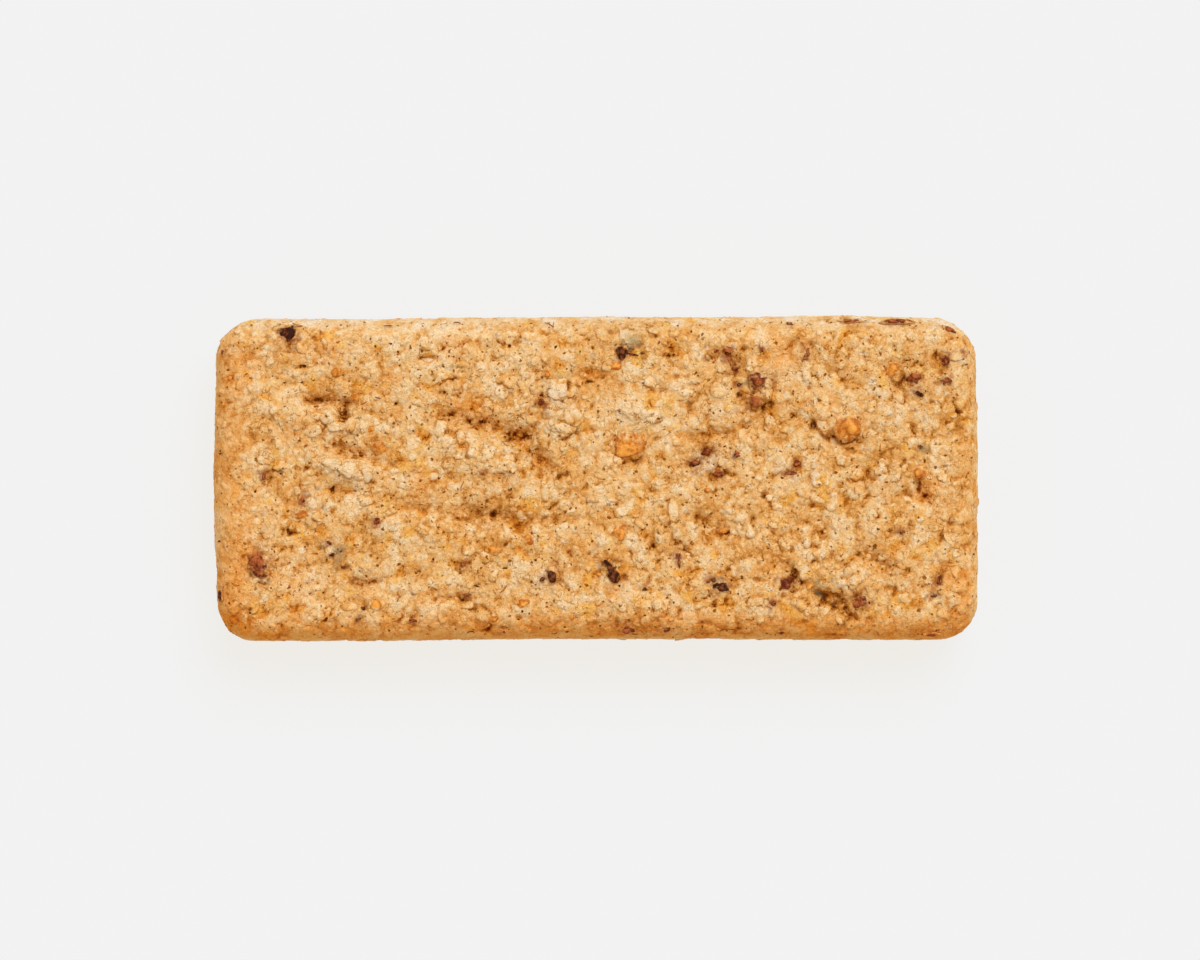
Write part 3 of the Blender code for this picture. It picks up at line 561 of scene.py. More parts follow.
def makeBlock():
    print("crumb block")
    halfX = form["length"] / 2 - form["sideBulge"]
    halfY = form["width"] / 2 - form["sideBulge"]
    raw, part, quads, strip = boxLattice(halfX, halfY)
    point, normal, turn, under = roundedForm(raw, part, halfX, halfY)
    x, y = point[:, 0], point[:, 1]
    onTop = (1 - smoothStep(15, 80, turn)) * (~under)
    edge = edgeShares(point)
    rim = np.maximum.reduce(list(edge.values()))
    share = crumb["sideShare"] + (1 - crumb["sideShare"]) * onTop * (1 - (1 - crumb["rimShare"]) * rim)
    share = np.where(under, crumb["underShare"], share)

    # places that wander, so that borders come out ragged, and the fused crumbs of two sizes
    wandering = noiseVector(point, *waves["bend"]) * crumb["wander"]
    wandering += noiseVector(point, *waves["fineBend"]) * 0.3 * crumb["wander"]
    wx, wy = x + 0.5 * wandering[:, 0], y + 0.5 * wandering[:, 1]
    clusterHeight, clusterTone = roundedCells(point + wandering, *crumb["cluster"][:2])
    grainHeight, grainTone = roundedCells(point + wandering, *crumb["grain"][:2])
    lump = smoothNoise(point, *crumb["lump"][:2])
    rough = smoothStep(-0.5, 0.5, smoothNoise(point, *waves["rough"]))  # some stretches are rougher
    relief = crumb["lump"][2] * lump + crumb["cluster"][2] * (np.clip(clusterHeight, -0.5, 1.1) - 0.6)
    relief += crumb["grain"][2] * (0.55 + 0.55 * rough) * (np.clip(grainHeight, -0.4, 1.1) - 0.6)
    relief += crumb["grit"][2] * smoothNoise(point, *crumb["grit"][:2])

    # open pits where no grain is near, and single holes, both more often in the rougher stretches
    patchy = smoothStep(-0.15, 0.45, smoothNoise(point, *waves["patchy"]) + 0.4 * rough - 0.4 * rim)
    junction = smoothStep(0.25, -0.25, grainHeight) * patchy
    holeHeight, _ = roundedCells(point + 0.5 * wandering, *crumb["hole"])
    junction = np.maximum(junction, smoothStep(1.02, 1.18, holeHeight) * (0.3 + 0.7 * patchy))
    leastLong, leastWide = crumb["leastPit"]
    pitSpots = [(row[0], row[1], max(row[2], leastLong), max(row[3], leastWide), row[4], 1.0) for row in pits]
    gaps = strongest(wx, wy, clefts) * onTop
    holes = strongest(0.5 * (x + wx), 0.5 * (y + wy), pitSpots) * onTop
    lowPlace = heaped(wx, wy, hollows) * onTop
    relief = relief * share - lowPlace + onTop * heaped(wx, wy, mounds)
    relief += onTop * heaped(wx, wy, paleLumps, 2) - crumb["cleftDepth"] * gaps
    relief -= crumb["pitDepth"] * np.maximum(holes, junction * share)
    relief = np.where(under, np.minimum(relief, 0), relief)
    relief = np.where(turn >= 90, relief * np.where(under, 1, np.clip(point[:, 2], 0, 1)), relief)
    moved = point + normal * relief[:, None]
    moved[:, 2] = np.maximum(moved[:, 2], 0)

    for axis, size in ((0, form["length"]), (1, form["width"])):
        low, high = moved[:, axis].min(), moved[:, axis].max()
        moved[:, axis] = (moved[:, axis] - (low + high) / 2) * size / (high - low)
    moved = drifted(moved)

    # how pale: each crumb has its own tone, fullest at its middle
    clusterRound, grainRound = smoothStep(0.0, 0.8, clusterHeight), smoothStep(0.0, 0.85, grainHeight)
    light = heaped(wx, wy, [row[:6] for row in tints], 2) * onTop
    warmth = heaped(wx, wy, [row[:5] + row[6:] for row in tints], 2) * onTop
    pale = shades["pale"] + shades["toneSpread"] * (clusterTone - 0.5) * clusterRound
    pale += shades["toneSpread"] * (grainTone - 0.42) * grainRound
    pale += shades["clusterLift"] * clusterRound + shades["grainLift"] * grainRound
    pale += shades["waver"] * smoothNoise(point, *waves["pale"])
    # painted shade: the broad hollows less pale
    pale += shades["lumpLift"] * strongest(wx, wy, paleLumps, 2) - shades["hollowShadePale"] * lowPlace
    # painted light: the back edge, which faces the lamp, paler
    pale += shades["backPaintedLight"] * edge["back"] ** 2
    # painted light: the steep sides paler, where the bright floor lights them
    pale += shades["patchLift"] * light + shades["sidePaintedLight"] * smoothStep(50, 90, turn) * (~under)

    # how amber, by patches, by grains of the highest tones and by the stains
    amber = shades["amberPatch"] * smoothStep(0.05, 0.50, smoothNoise(point, *waves["amber"]))
    amber *= smoothStep(-0.3, 0.3, smoothNoise(point, *waves["amberArea"]))
    amber = np.maximum(amber, shades["amberGrain"] * smoothStep(0.75, 0.95, grainTone) * grainRound)
    amber = np.maximum(amber, strongest(wx, wy, amberStains))

    # how deep in a gap, painted as shade: the clefts, hollows, pits, the borders of the crumbs, and round the
    # pieces
    ragged = smoothStep(-0.35, 0.45, smoothNoise(point, *waves["ragged"]))
    gapshade = gaps * (0.40 + 0.35 * ragged) + shades["hollowShade"] * lowPlace * (0.4 + ragged)
    pitted = np.maximum(holes, shades["junctionShade"] * junction * np.where(under, 0.4, 1))
    gapshade += shades["pitShade"] * pitted
    creviceShade = shades["clusterShade"] * smoothStep(0.50, 0.0, clusterHeight)
    creviceShade += shades["grainShade"] * smoothStep(0.50, 0.0, grainHeight)
    gapshade += creviceShade * (0.5 + 0.8 * rough) * (1 - 0.55 * rim)
    nutSeat = strongest(wx, wy, seats(nutPieces["places"]), 2) * onTop
    ruddySeat = strongest(wx, wy, seats(fruitPieces["places"] + darkBits["places"]), 2) * onTop
    gapshade += shades["seatShade"] * np.maximum(nutSeat, ruddySeat) * (0.4 + ragged)
    amber = np.maximum(amber, shades["amberSeat"] * nutSeat * (0.4 + 0.6 * ragged))
    ruddy = np.maximum(strongest(wx, wy, ruddyStains) * onTop, shades["ruddySeat"] * ruddySeat)
    ruddy = ruddy * (0.5 + 0.5 * ragged)

    # how browned: toasting by the nearness of each edge, and on the sides and underside by noise; on the
    # front, left and right edges it is partly painted shade, and on the back edge it goes below zero as
    # painted light
    toastandshading = shades["leftBrownShade"] * edge["left"] + shades["rightBrownShade"] * edge["right"]
    toastandshading += shades["frontBrownShade"] * edge["front"] - shades["backAshenLight"] * edge["back"] ** 3
    toastandshading = np.clip(toastandshading, -0.9, 1) * (1 - 0.25 * smoothNoise(point, *waves["toastandshading"]))
    toastandshading += shades["warmBrown"] * warmth
    topness = smoothStep(*crumb["topnessFrom"], point[:, 2])
    aside = 0.45 + 0.25 * smoothNoise(point, *waves["aside"]) + 0.3 * smoothStep(5.0, 0.5, point[:, 2])
    toastandshading = np.where(under, shades["underBrown"], toastandshading * topness + aside * (1 - topness))
    values = {
        "pale": np.clip(pale, -0.2, 1.7),
        "gapshade": np.clip(gapshade, 0, 1),
        "toastandshading": np.clip(toastandshading, -1, 1),
        "green": strongest(wx, wy, greenStains) * onTop,
        "amber": np.clip(amber, 0, 1) * (0.5 + 0.5 * topness),
        "ruddy": np.clip(ruddy, 0, 1),
        "even": np.where(under, 0.5, 0.3 + (rim - 0.3) * topness),
    }
    block = newPiece("crumbBlock", moved, quads, strip, values)
    surface = {
        "point": moved,
        "normal": meshNormals(moved, quads, strip),
        "part": part,
        "values": values,
        "topShape": (len(latticeCuts(halfX)), len(latticeCuts(halfY))),
        "rim": rim,
        "rough": rough,
    }
    return block, surface


# Rounded pieces pressed into the block

def ballRings(*latitudes):
    return [(math.cos(math.radians(lat)), math.sin(math.radians(lat))) for lat in latitudes]


def pebble(rings, around):
    # a ring of points for each radius and height, and a point on the axis at each end, at heights -1 and 1
    radius, height = np.transpose(rings)[..., None]
    lon = np.linspace(0, 2 * np.pi, around, endpoint=False)[None, :]
    ring = np.stack([radius * np.cos(lon), radius * np.sin(lon), height + 0 * lon], -1)
    points = np.concatenate([ring.reshape(-1, 3), [[0, 0, -1.0], [0, 0, 1.0]]])
    index = np.arange(ring.shape[0] * around).reshape(ring.shape[0], around)
    after = np.roll(index, -1, axis=1)
    quads = np.stack([index[:-1], after[:-1], after[1:], index[1:]], -1).reshape(-1, 4)
    south, north = len(points) - 2, len(points) - 1
    low = np.stack([after[0], index[0], np.full(around, south)], -1)
    high = np.stack([index[-1], after[-1], np.full(around, north)], -1)
    return points, quads, np.concatenate([low, high])


grainPebble = pebble(ballRings(-5, 25, 42, 58, 74), 11)
fleckPebble = pebble(ballRings(-20, 25, 60), 7)
lowDome = pebble([(0.75, -0.95), (1.10, -0.45)] + [(r, 1 - r**2.4) for r in np.linspace(1.04, 0.08, 10)], 28)


def crumbThere(surface, key, laid, index):
    # the crumb's value under each point of a piece: on the top from the lattice there, and elsewhere from the
    # block's point that the piece was put on
    columns, rows = surface["topShape"]
    grid = surface["point"][:columns * rows].reshape(columns, rows, 3)
    ix = np.clip(np.searchsorted(grid[:, rows // 2, 0], laid[..., 0]), 0, columns - 1)
    iy = np.clip(np.searchsorted(grid[columns // 2, :, 1], laid[..., 1]), 0, rows - 1)
    onTop = surface["values"][key][:columns * rows].reshape(columns, rows)[ix, iy]
    middle = surface["values"][key][index][:, None]
    return np.where((surface["part"][index] == 0)[:, None], onTop, middle)


def ownTone(values, kind):
    # painted shade at the foot, darker like a gap between crumbs, and the piece's own tone towards its top
    own = smoothStep(0.05, 1.0, values["rise"])
    low, high = kind["tones"]
    tone = 0.4 * values["pale"] + 0.6 * (low + (high - low) * values["lot"])
    values["pale"] = (1 - 2 * kind["foot"]) * values["pale"] * (1 - own) + own * tone
    values["amber"] = values["amber"] * (1 - own) + own * smoothStep(0.3, 0.0, values["lot"]) * kind["amber"]
    values["gapshade"] = np.maximum(values["gapshade"], kind["foot"]) * (1 - own)


def pressIn(name, surface, kind, salt, template, at, sizes, turns, sink, lots, bend=None):
    # copies one pebble to every place: its unit points are squared off, roughened by noise of its own,
    # scaled, turned to lie in the surface and sunk by that share of its half height
    points, quads, triangles = template
    count, each = len(sizes), len(points)
    unit = np.sign(points) * np.abs(points) ** kind.get("square", 1.0)
    offset = np.random.default_rng(salt).uniform(0, 90, (count, 1, 3))
    ball = unit[None]
    for scale, strength, step in ((1.1, 1, 0), (2.6, 0.3, 9), (5.5, 0.1, 17)):
        swell = smoothNoise(points[None] * scale + offset, 1.0, salt + step)
        ball = ball * (1 + strength * kind["rough"] * swell)[..., None]
    local = ball * (sizes[:, None, :] / 2)
    if bend is not None:
        local[..., 1] += bend[:, None] * local[..., 0] ** 2 / np.maximum(sizes[:, None, 0], 0.1)
    normal = at["normal"]
    level = np.where(np.abs(normal[:, :1]) < 0.8, [[1.0, 0, 0]], [[0, 1.0, 0]])
    level = level - normal * np.sum(level * normal, -1)[:, None]
    level /= np.linalg.norm(level, axis=1)[:, None]
    along = np.cos(turns)[:, None] * level + np.sin(turns)[:, None] * np.cross(normal, level)
    across = np.cross(normal, along)
    local[..., 2] -= (sink * sizes[:, 2] / 2)[:, None]
    laid = at["point"][:, None, :] + local[..., 0:1] * along[:, None] + local[..., 1:2] * across[:, None]
    laid += local[..., 2:3] * normal[:, None]
    laid[..., 2] = np.maximum(laid[..., 2], 0.02)
    shift = (np.arange(count) * each)[:, None, None]
    rise = local[..., 2] / (sizes[:, None, 2] / 2 * np.maximum(1 - sink, 0.15)[:, None])
    values = {"rise": np.clip(rise, 0, 1)}
    for key in surface["values"]:
        values[key] = crumbThere(surface, key, laid, at["index"])
    values["lot"] = np.repeat(lots[:, None], each, 1)
    if "tones" in kind:
        ownTone(values, kind)
    return newPiece(name, laid.reshape(-1, 3), (quads[None] + shift).reshape(-1, 4),
                    (triangles[None] + shift).reshape(-1, 3), values)


def placesOf(surface, index):
    return {"point": surface["point"][index], "normal": surface["normal"][index], "index": index}


def placesAt(surface, x, y):
    # the point of the block's top under each x, y, with its outward direction drawn towards straight up
    columns, rows = surface["topShape"]
    top = surface["point"][:columns * rows]
    index = np.empty(len(x), int)
    for k, (px, py) in enumerate(zip(x, y)):
        index[k] = np.argmin((top[:, 0] - px) ** 2 + (top[:, 1] - py) ** 2)
    at = placesOf(surface, index)
    at["point"] = np.column_stack([x, y, at["point"][:, 2]])
    at["normal"] = at["normal"] + np.array([0, 0, 2.0]) * at["normal"][:, 2:] ** 3
    at["normal"] /= np.linalg.norm(at["normal"], axis=1)[:, None]
    return at


def joined(a, b):
    return {key: np.concatenate([a[key], b[key]]) for key in a}


def scatter(surface, kind, salt, clear=()):
    # at most one place in each cell of a lattice of that spacing, picked at random among the block's points,
    # and none where a placed piece already lies or close to the foot of the sides
    footFree, topFrom = 1.4, 9
    rng = np.random.default_rng(salt)
    order = rng.permutation(np.nonzero(surface["values"]["gapshade"] < 0.5)[0])
    cells = np.floor(surface["point"][order] / kind["spacing"] + rng.uniform(0, 1, 3)).astype(int)
    _, first = np.unique(cells, axis=0, return_index=True)
    index = order[first]
    odds = np.choose(surface["part"][index], kind["shares"])
    odds = np.where((surface["part"][index] == 1) & (surface["point"][index, 2] < footFree), 0.0, odds)
    index = index[rng.uniform(0, 1, len(index)) < odds]
    keep = np.ones(len(index), bool)
    p = surface["point"][index]
    for middleX, middleY, room in clear:
        keep &= ((p[:, 0] - middleX) ** 2 + (p[:, 1] - middleY) ** 2 > room**2) | (p[:, 2] < topFrom)
    return index[keep]


def randomSizes(rng, kind, count, keys=("length", "width", "thick")):
    return np.column_stack([rng.uniform(*kind[key], count) for key in keys])


# In the scattered kinds, shares are those of the places on the top, sides and underside that get a piece,
# tones are the palenesses of the darkest and the lightest piece, and foot is the painted shade at a piece's
# foot.

oatGrains = {
    "salt": 101, "spacing": 2.2, "shares": (0.6, 0.35, 0.0), "length": (1.3, 2.6),
    "width": (1.0, 1.8), "thick": (0.8, 1.2), "sink": (0.80, 0.94), "rough": 0.5, "square": 0.8,
    "tones": (0.7, 1.5), "amber": 0.0, "foot": 0.09,
}

goldenCrumbs = {
    "salt": 202, "spacing": 1.6, "shares": (0.7, 0.4, 0.0), "length": (0.6, 1.4),
    "width": (0.5, 1.1), "thick": (0.6, 0.9), "sink": (0.74, 0.92), "rough": 0.5, "square": 0.8,
    "tones": (0.1, 0.9), "amber": 0.4, "foot": 0.09,
}


def clearings():
    # rounds that stay free of scattered grains: x, y, radius
    rows = []
    for kind in (nutPieces, fruitPieces, darkBits, oatFlakes, branFlecks):
        rows += [(p[0], p[1], max(p[2], p[3]) / 2 + kind["room"]) for p in kind["places"]]
    rows += [(p[0], p[1], 0.35 + p[2] / 4) for p in pits]
    rows += [(p[0], p[1], 0.45) for p in clefts]
    return rows


def makeGrains(surface, name, kind):
    print(name)
    rng = np.random.default_rng(kind["salt"])
    index = scatter(surface, kind, kind["salt"], clearings())
    sizes = randomSizes(rng, kind, len(index))
    sizes[:, 2] *= np.where(surface["part"][index] == 0, 1.0, 0.45)  # flatter on the pressed sides
    turns = rng.uniform(0, 2 * np.pi, len(index))
    sink = rng.uniform(*kind["sink"], len(index))  # deeper at the rim, and prouder in the rough stretches
    sink += 0.14 * surface["rim"][index]
    sink -= 0.1 * surface["rough"][index]
    lots = rng.uniform(0, 1, len(index))
    return pressIn(name, surface, kind, kind["salt"], grainPebble, placesOf(surface, index), sizes, turns,
                   np.minimum(sink, 0.95), lots)


# Pieces listed one by one: x, y, length, width, turn, rise and tone, from dark 0 to light 1. The usual
# numbers stand in for what a row leaves out at its end. Room is how far scattered grains keep off. In a look,
# the dark and the light colour mix in patches of the size given.

oatFlakes = {  # pale flakes that can be told apart
    "salt": 300, "sink": 0.3, "rough": 0.5, "usual": (0.25, 1.0), "room": 0.0, "tones": (0.7, 1.5),
    # foot is the painted shade at a flake's foot
    "amber": 0.0, "foot": 0.03,
    "places": (
        (-20.4, 14.5, 2, 1.4, 0), (-38.2, 12.9, 1, 0.9, 0), (-36.7, 13, 1, 0.9, 0), (-46, 10.6, 1, 0.9, 0),
        (-45.6, 6.6, 0.8, 0.9, 0), (-28, 7.3, 1.3, 1.1, 0), (-19.1, 6.1, 1.3, 2.1, 0),
        (-14, 13.6, 1.3, 1.2, 0), (-11.7, 10.4, 1.4, 1.2, 0), (-10.5, 7.9, 1, 0.8, 40),
        (-7.5, 14.3, 1.2, 0.9, 20), (-4.2, 10.9, 2.2, 1.8, 0), (-2.6, 7.7, 2, 1.9, 0),
        (-3.9, 6.2, 2, 1.7, 0), (19.2, 14.3, 1.2, 1.5, 0), (4, 13.6, 0.9, 2, 0), (15.8, 14.6, 1, 0.9, 0),
        (35.6, 8.4, 2.3, 1.6, 15), (39.1, 9.2, 1.1, 1.3, 0), (41.5, -1.7, 1, 0.9, 0),
        (9.6, -3.8, 1.2, 2.4, 0), (19.1, -6.9, 1, 0.9, 0), (16.9, -11.3, 1.2, 1.6, 0),
        (12.3, -13, 1.4, 1.2, 0), (12.8, -15.7, 1.3, 0.8, 0), (18.6, -10.7, 0.9, 1.3, 0),
        (22.4, -3.5, 1, 1, 0), (3.4, -4.1, 1.8, 1.2, 0), (40.3, -7.3, 1.1, 1.3, 0), (29.6, -5.6, 1, 1.2, 0),
        (28, -9.1, 1.3, 1.3, 0), (28.9, -3.5, 1, 1, 0), (28.3, -16.2, 1.3, 1.2, 0),
        (-31.9, 6.4, 1.5, 1, -10), (-33.2, 7, 1.2, 1.1, 0), (-30.2, 1, 1.8, 1.3, -20),
        (-32.4, 1.8, 1.8, 1.3, -20), (5.2, 8.6, 1.6, 1.2, 0), (6.9, 7.7, 1.8, 1.3, -30),
        (3.6, 8.4, 1, 0.9, 0), (11, 10.4, 2, 1.1, 10), (31.6, -12.7, 1.7, 1.2, -20), (28, 6.4, 1.3, 1.5, 0),
        (28.1, 8.2, 1.2, 1.4, 0), (-9.5, 14.6, 1.6, 1.1, -35), (-16.7, 2.7, 1.6, 1.4, 0),
        (-13.2, 3, 1.6, 1.3, 30), (-21.9, 9.3, 1, 0.8, 0), (8.6, 6.6, 1.2, 1, 0), (22.6, 16.4, 1.3, 1, 0),
        (43.6, 6.4, 1, 1.2, 0),
    ),
}

nutPieces = {  # amber diced nuts
    "salt": 301, "sink": 0.1, "rough": 0.38, "usual": (0.5,), "room": 0.25, "slot": "amber_nut",
    "look": {"name": "amberNut", "dark": (178, 92, 22), "light": (246, 166, 72), "patch": 0.9,
             "roughness": 0.5, "bump": 0.08, "gloss": 0.08, "covered": 0.42, "dusted": 2.4},
    "places": (
        (4.2, 4.1, 3.8, 3.2, 25, 0.8, 0.5), (31, 6.3, 3, 2.7, -20, 0.85, 0.5),
        (-26.5, 3.7, 1.6, 1.4, 0, 0.5), (2.5, 13.8, 1.5, 1.3, 0, 0.4), (36.5, 13.5, 1.4, 1.7, 0, 0.4),
        (2.8, -6.8, 1.7, 2, 10, 0.5), (-31.8, 13.1, 1.4, 1.2, 0, 0.3),
        (-36.3, -4.5, 1.4, 0.9, 15, 0.4, 0.35), (-8.2, -7.5, 1.5, 1.2, 0, 0.3),
        (-12.5, -8.8, 1.5, 1, 0, 0.3), (-8.9, -15.4, 1.4, 0.9, 0, 0.3), (-12.5, -17.4, 1, 0.9, 0, 0.3),
        (-26.9, -15.7, 1.4, 1.2, 0, 0.3, 0.75), (39.9, 0.6, 1.5, 1.3, 0, 0.4),
        (28.4, 16.2, 0.7, 0.6, 0, 0.3), (15.7, -6.5, 1, 0.9, 0, 0.3), (0.4, -11.8, 0.8, 0.7, 0, 0.3),
        (26.3, -13.3, 1, 1, 0, 0.4, 0.8), (-27.7, 6.1, 1, 0.9, 0, 0.3), (-5.9, 12.7, 0.8, 0.8, 0, 0.3),
        (13.7, -1.5, 0.6, 0.6, 0, 0.3), (-2.9, -17.1, 0.5, 0.4, 0, 0.2), (-29.6, 9.9, 1.2, 1, 0, 0.3),
    ),
}

fruitPieces = {  # red-brown fruit and skins
    "salt": 302, "sink": 0.1, "rough": 0.55, "usual": (0.5,), "room": 0.2, "slot": "red_fruit",
    "look": {"name": "redFruit", "dark": (92, 30, 8), "light": (186, 100, 50), "patch": 0.6,
             "roughness": 0.55, "bump": 0.10, "gloss": 0.08, "covered": 0.42, "dusted": 2.4},
    "places": (
        (-41.6, -10.8, 2.2, 2.6, 15, 0.6), (-36.2, -2.8, 0.8, 1.3, 0, 0.3), (-27, -5.5, 0.9, 0.9, 0, 0.3),
        (-6.7, 9.4, 1, 0.7, -30, 0.2, 0.4), (14.8, 15.6, 0.6, 0.5, 0, 0.2), (16.4, 15.7, 1.1, 0.8, 0, 0.3),
        (16.4, 14.4, 0.6, 1.2, 10, 0.3), (17.2, 13.6, 1.1, 0.9, 30, 0.3), (20.1, 11.8, 2, 1.7, 0, 0.6, 0.3),
        (19.7, 9.6, 1.4, 1.5, 0, 0.5, 0.95), (13.8, 3.2, 1.4, 1, 0, 0.3, 0.35),
        (12.3, 1.9, 1.2, 1, 0, 0.3, 0.3), (17.4, 2.9, 0.9, 0.7, 0, 0.2, 0.5),
        (15.1, 0.6, 1.3, 1.1, 0, 0.25, 0.4), (23.9, 0.6, 1.7, 0.6, -10, 0.3, 0.4),
        (24.8, 1.8, 0.8, 0.7, 0, 0.3, 0.45), (26.1, 15.5, 0.7, 1.5, -20, 0.3), (20.4, 16, 0.5, 0.9, 0, 0.2),
        (39.2, 12.2, 1.6, 1.3, 0, 0.4, 0.4), (43, 14.6, 1, 1.2, 0, 0.3, 0.2),
        (43.2, 11.9, 1.2, 0.8, 0, 0.3), (23.6, -13, 1.6, 1.5, 0, 0.4, 0.15),
        (32.5, -15.2, 1.8, 1.4, 0, 0.5), (3.9, -18.7, 1.6, 1, 0, 0.4), (8.7, -18.7, 1.1, 0.6, 0, 0.3),
        (21.8, -15.4, 0.9, 0.6, 0, 0.3), (10.2, -9.6, 0.6, 0.6, 0, 0.2), (10.3, -10.5, 0.4, 0.9, 0, 0.2),
        (-15.8, -14.3, 0.8, 0.5, 0, 0.2), (-16.3, -10.6, 0.6, 0.5, 0, 0.2), (-40.8, 0.2, 0.5, 1.1, 0, 0.3),
        (37.3, 19.3, 3, 0.6, 0, 0.2), (43.6, 18.3, 1.2, 0.5, -30, 0.1), (45.6, 15.6, 0.7, 0.8, 0, 0.2),
        (23.9, 19, 1, 0.4, 0, 0.2), (41.5, -19.3, 1.4, 0.4, 0, 0.2), (31.5, 19.4, 2.2, 0.4, 0, 0.2),
        (-13.9, 0.6, 0.6, 0.5, 0, 0.2), (-22.5, -17.6, 0.9, 0.5, 10, 0.2), (37.8, -6.7, 0.6, 0.5, 0, 0.2),
    ),
}

darkBits = {  # purple-brown to nearly black
    "salt": 303, "sink": 0.1, "rough": 0.55, "usual": (0.5,), "room": 0.2, "slot": "dark_bit",
    "look": {"name": "darkBit", "dark": (54, 18, 6), "light": (142, 76, 36), "patch": 0.6,
             "roughness": 0.6, "bump": 0.10, "gloss": 0.08, "covered": 0.32, "dusted": 1.8},
    "places": (
        (-38.1, 17.9, 2.2, 1.9, 20, 0.6, 0.25), (3.2, 15.5, 1.3, 1.4, -15, 0.5, 0.3),
        (4.4, 15.2, 1.3, 0.3, -8, 0.2), (5.8, 15.4, 0.5, 0.4, 0, 0.2), (-5.4, -12, 1.3, 1.7, 10, 0.5, 0.35),
        (-6.5, -12.4, 0.7, 0.4, 35, 0.3), (1.9, -11.5, 1.5, 2.5, 30, 0.5, 0.25),
        (6, -13.7, 0.6, 0.5, 0, 0.3), (15.3, -13.3, 1.7, 1.2, -10, 0.45, 0.2),
        (14.5, -12.5, 0.7, 0.5, 30, 0.3), (13.8, -12.8, 0.4, 0.3, 0, 0.2), (-46, 15.5, 0.4, 0.7, 0, 0.1),
        (-46.3, -14.4, 0.5, 1.3, 0, 0.2), (39.8, 10.4, 0.9, 0.6, -10, 0.4, 0.6),
        (42.3, -12.9, 0.5, 0.7, 0, 0.3), (41.7, -14.5, 0.6, 0.4, 0, 0.3), (-32.8, -8, 0.6, 0.5, 0, 0.3),
        (-32.4, -9.4, 0.6, 0.5, 20, 0.3, 0.1), (-31.3, -9, 0.3, 0.3, 0, 0.2),
        (-31, -10.9, 0.5, 0.4, 0, 0.2), (-28.6, -16, 0.5, 0.4, 0, 0.2), (-29.2, -17.4, 0.6, 0.4, 30, 0.2),
        (40, 3.8, 0.5, 0.4, 0, 0.2), (17.6, 11.5, 0.5, 0.4, 0, 0.2), (17.5, 10.4, 0.4, 0.4, 0, 0.2),
        (12.2, 1.6, 0.8, 0.5, 20, 0.3), (23.4, -12.8, 0.8, 0.5, -40, 0.4, 0.5),
        (-11.3, -19, 0.5, 0.3, 0, 0.2), (22.9, -19, 0.8, 0.3, 0, 0.2),
    ),
}


def makePlaced(surface, name, kind):
    # low domes at the listed spots, a quarter wider than they show, since the crumb covers their foot
    print(name)
    rows = np.array([(row + kind["usual"])[:7] for row in kind["places"]], float)
    at = placesAt(surface, rows[:, 0], rows[:, 1])
    sizes = np.column_stack([rows[:, 2] * 1.25, rows[:, 3] * 1.25, 0.3 + 0.9 * rows[:, 5]])
    return pressIn(name, surface, kind, kind["salt"], lowDome, at, sizes, np.radians(rows[:, 4]),
                   np.full(len(rows), kind["sink"]), rows[:, 6])


branFlecks = {
    "salt": 77, "spacing": 3.4, "shares": (0.25, 0.4, 0.4), "length": (0.5, 1.2),
    "width": (0.13, 0.22), "thick": (0.1, 0.14), "fibreThick": 0.16, "sink": 0.1, "rough": 0.3,
    "room": 0.1,
    "look": {"name": "bran", "dark": (128, 60, 10), "light": (208, 132, 54), "patch": 1.5,
             "roughness": 0.7, "bump": 0.03, "gloss": 0.04, "covered": 0.0, "dusted": 0.5},
    "places": (  # fibres and skins: x, y, length, width, turn, tone from dark 0 to amber 1
        (-41.8, 2.1, 1, 0.15, -30, 0), (-25.6, 18.8, 1.1, 0.15, 0, 0.2), (-17.1, 19.2, 1.1, 0.15, 0, 0.3),
        (-5.7, 19, 1.5, 0.14, -30, 0.5), (-9.6, 11.4, 1.3, 0.18, -60, 0.6), (6.2, 6.9, 0.8, 0.14, 30, 0.5),
        (9, 9.2, 0.6, 0.14, -20, 0.5), (-16.5, -0.9, 1.7, 0.18, 70, 0.9),
        (-11.3, -13.7, 1.3, 0.18, 50, 0.9), (45.7, 0.3, 1.4, 0.16, 65, 0.4),
        (-9.3, 15.3, 0.6, 0.14, 10, 0.3), (-9, 7.4, 0.8, 0.14, -40, 0.5), (-13, 8.6, 0.8, 0.14, -50, 0.3),
        (-8.5, 9.3, 0.9, 0.16, 15, 0.2), (16.4, -18.6, 2.4, 0.12, 0, 0.5), (-5, -19.2, 1, 0.16, 20, 0.3),
        (4.9, -19.3, 0.9, 0.15, 0, 0.2), (-15.4, -18.9, 1.1, 0.2, 0, 0.3), (-28.5, 9.2, 1, 0.16, 25, 0.6),
        (41.2, -3, 0.9, 0.16, -40, 0.4), (-36.8, 18.8, 1.4, 0.3, -15, 0.6), (39.9, -1.2, 2.1, 0.34, -76, 0),
        (39.6, 0.3, 0.9, 0.2, -60, 0.2),
    ),
}


def makeFlecks(surface):
    print("branFlecks")
    kind = branFlecks
    rng = np.random.default_rng(kind["salt"])
    index = scatter(surface, kind, kind["salt"] + 1)
    index = index[rng.uniform(0, 1, len(index)) > 0.7 * surface["rim"][index]]
    count = len(index)
    rows = np.array(kind["places"], float)
    at = joined(placesOf(surface, index), placesAt(surface, rows[:, 0], rows[:, 1]))
    fibreSizes = np.column_stack([rows[:, 2], rows[:, 3], np.full(len(rows), kind["fibreThick"])])
    sizes = np.vstack([randomSizes(rng, kind, count), fibreSizes])
    turns = np.concatenate([rng.uniform(0, 2 * np.pi, count), np.radians(rows[:, 4])])
    lots = np.concatenate([rng.uniform(0.6, 1, count), rows[:, 5]])
    bend = rng.uniform(-0.9, 0.9, len(sizes))
    sink = np.full(len(sizes), kind["sink"])
    return pressIn("branFlecks", surface, kind, kind["salt"] + 2, fleckPebble, at, sizes, turns, sink, lots,
                   bend)
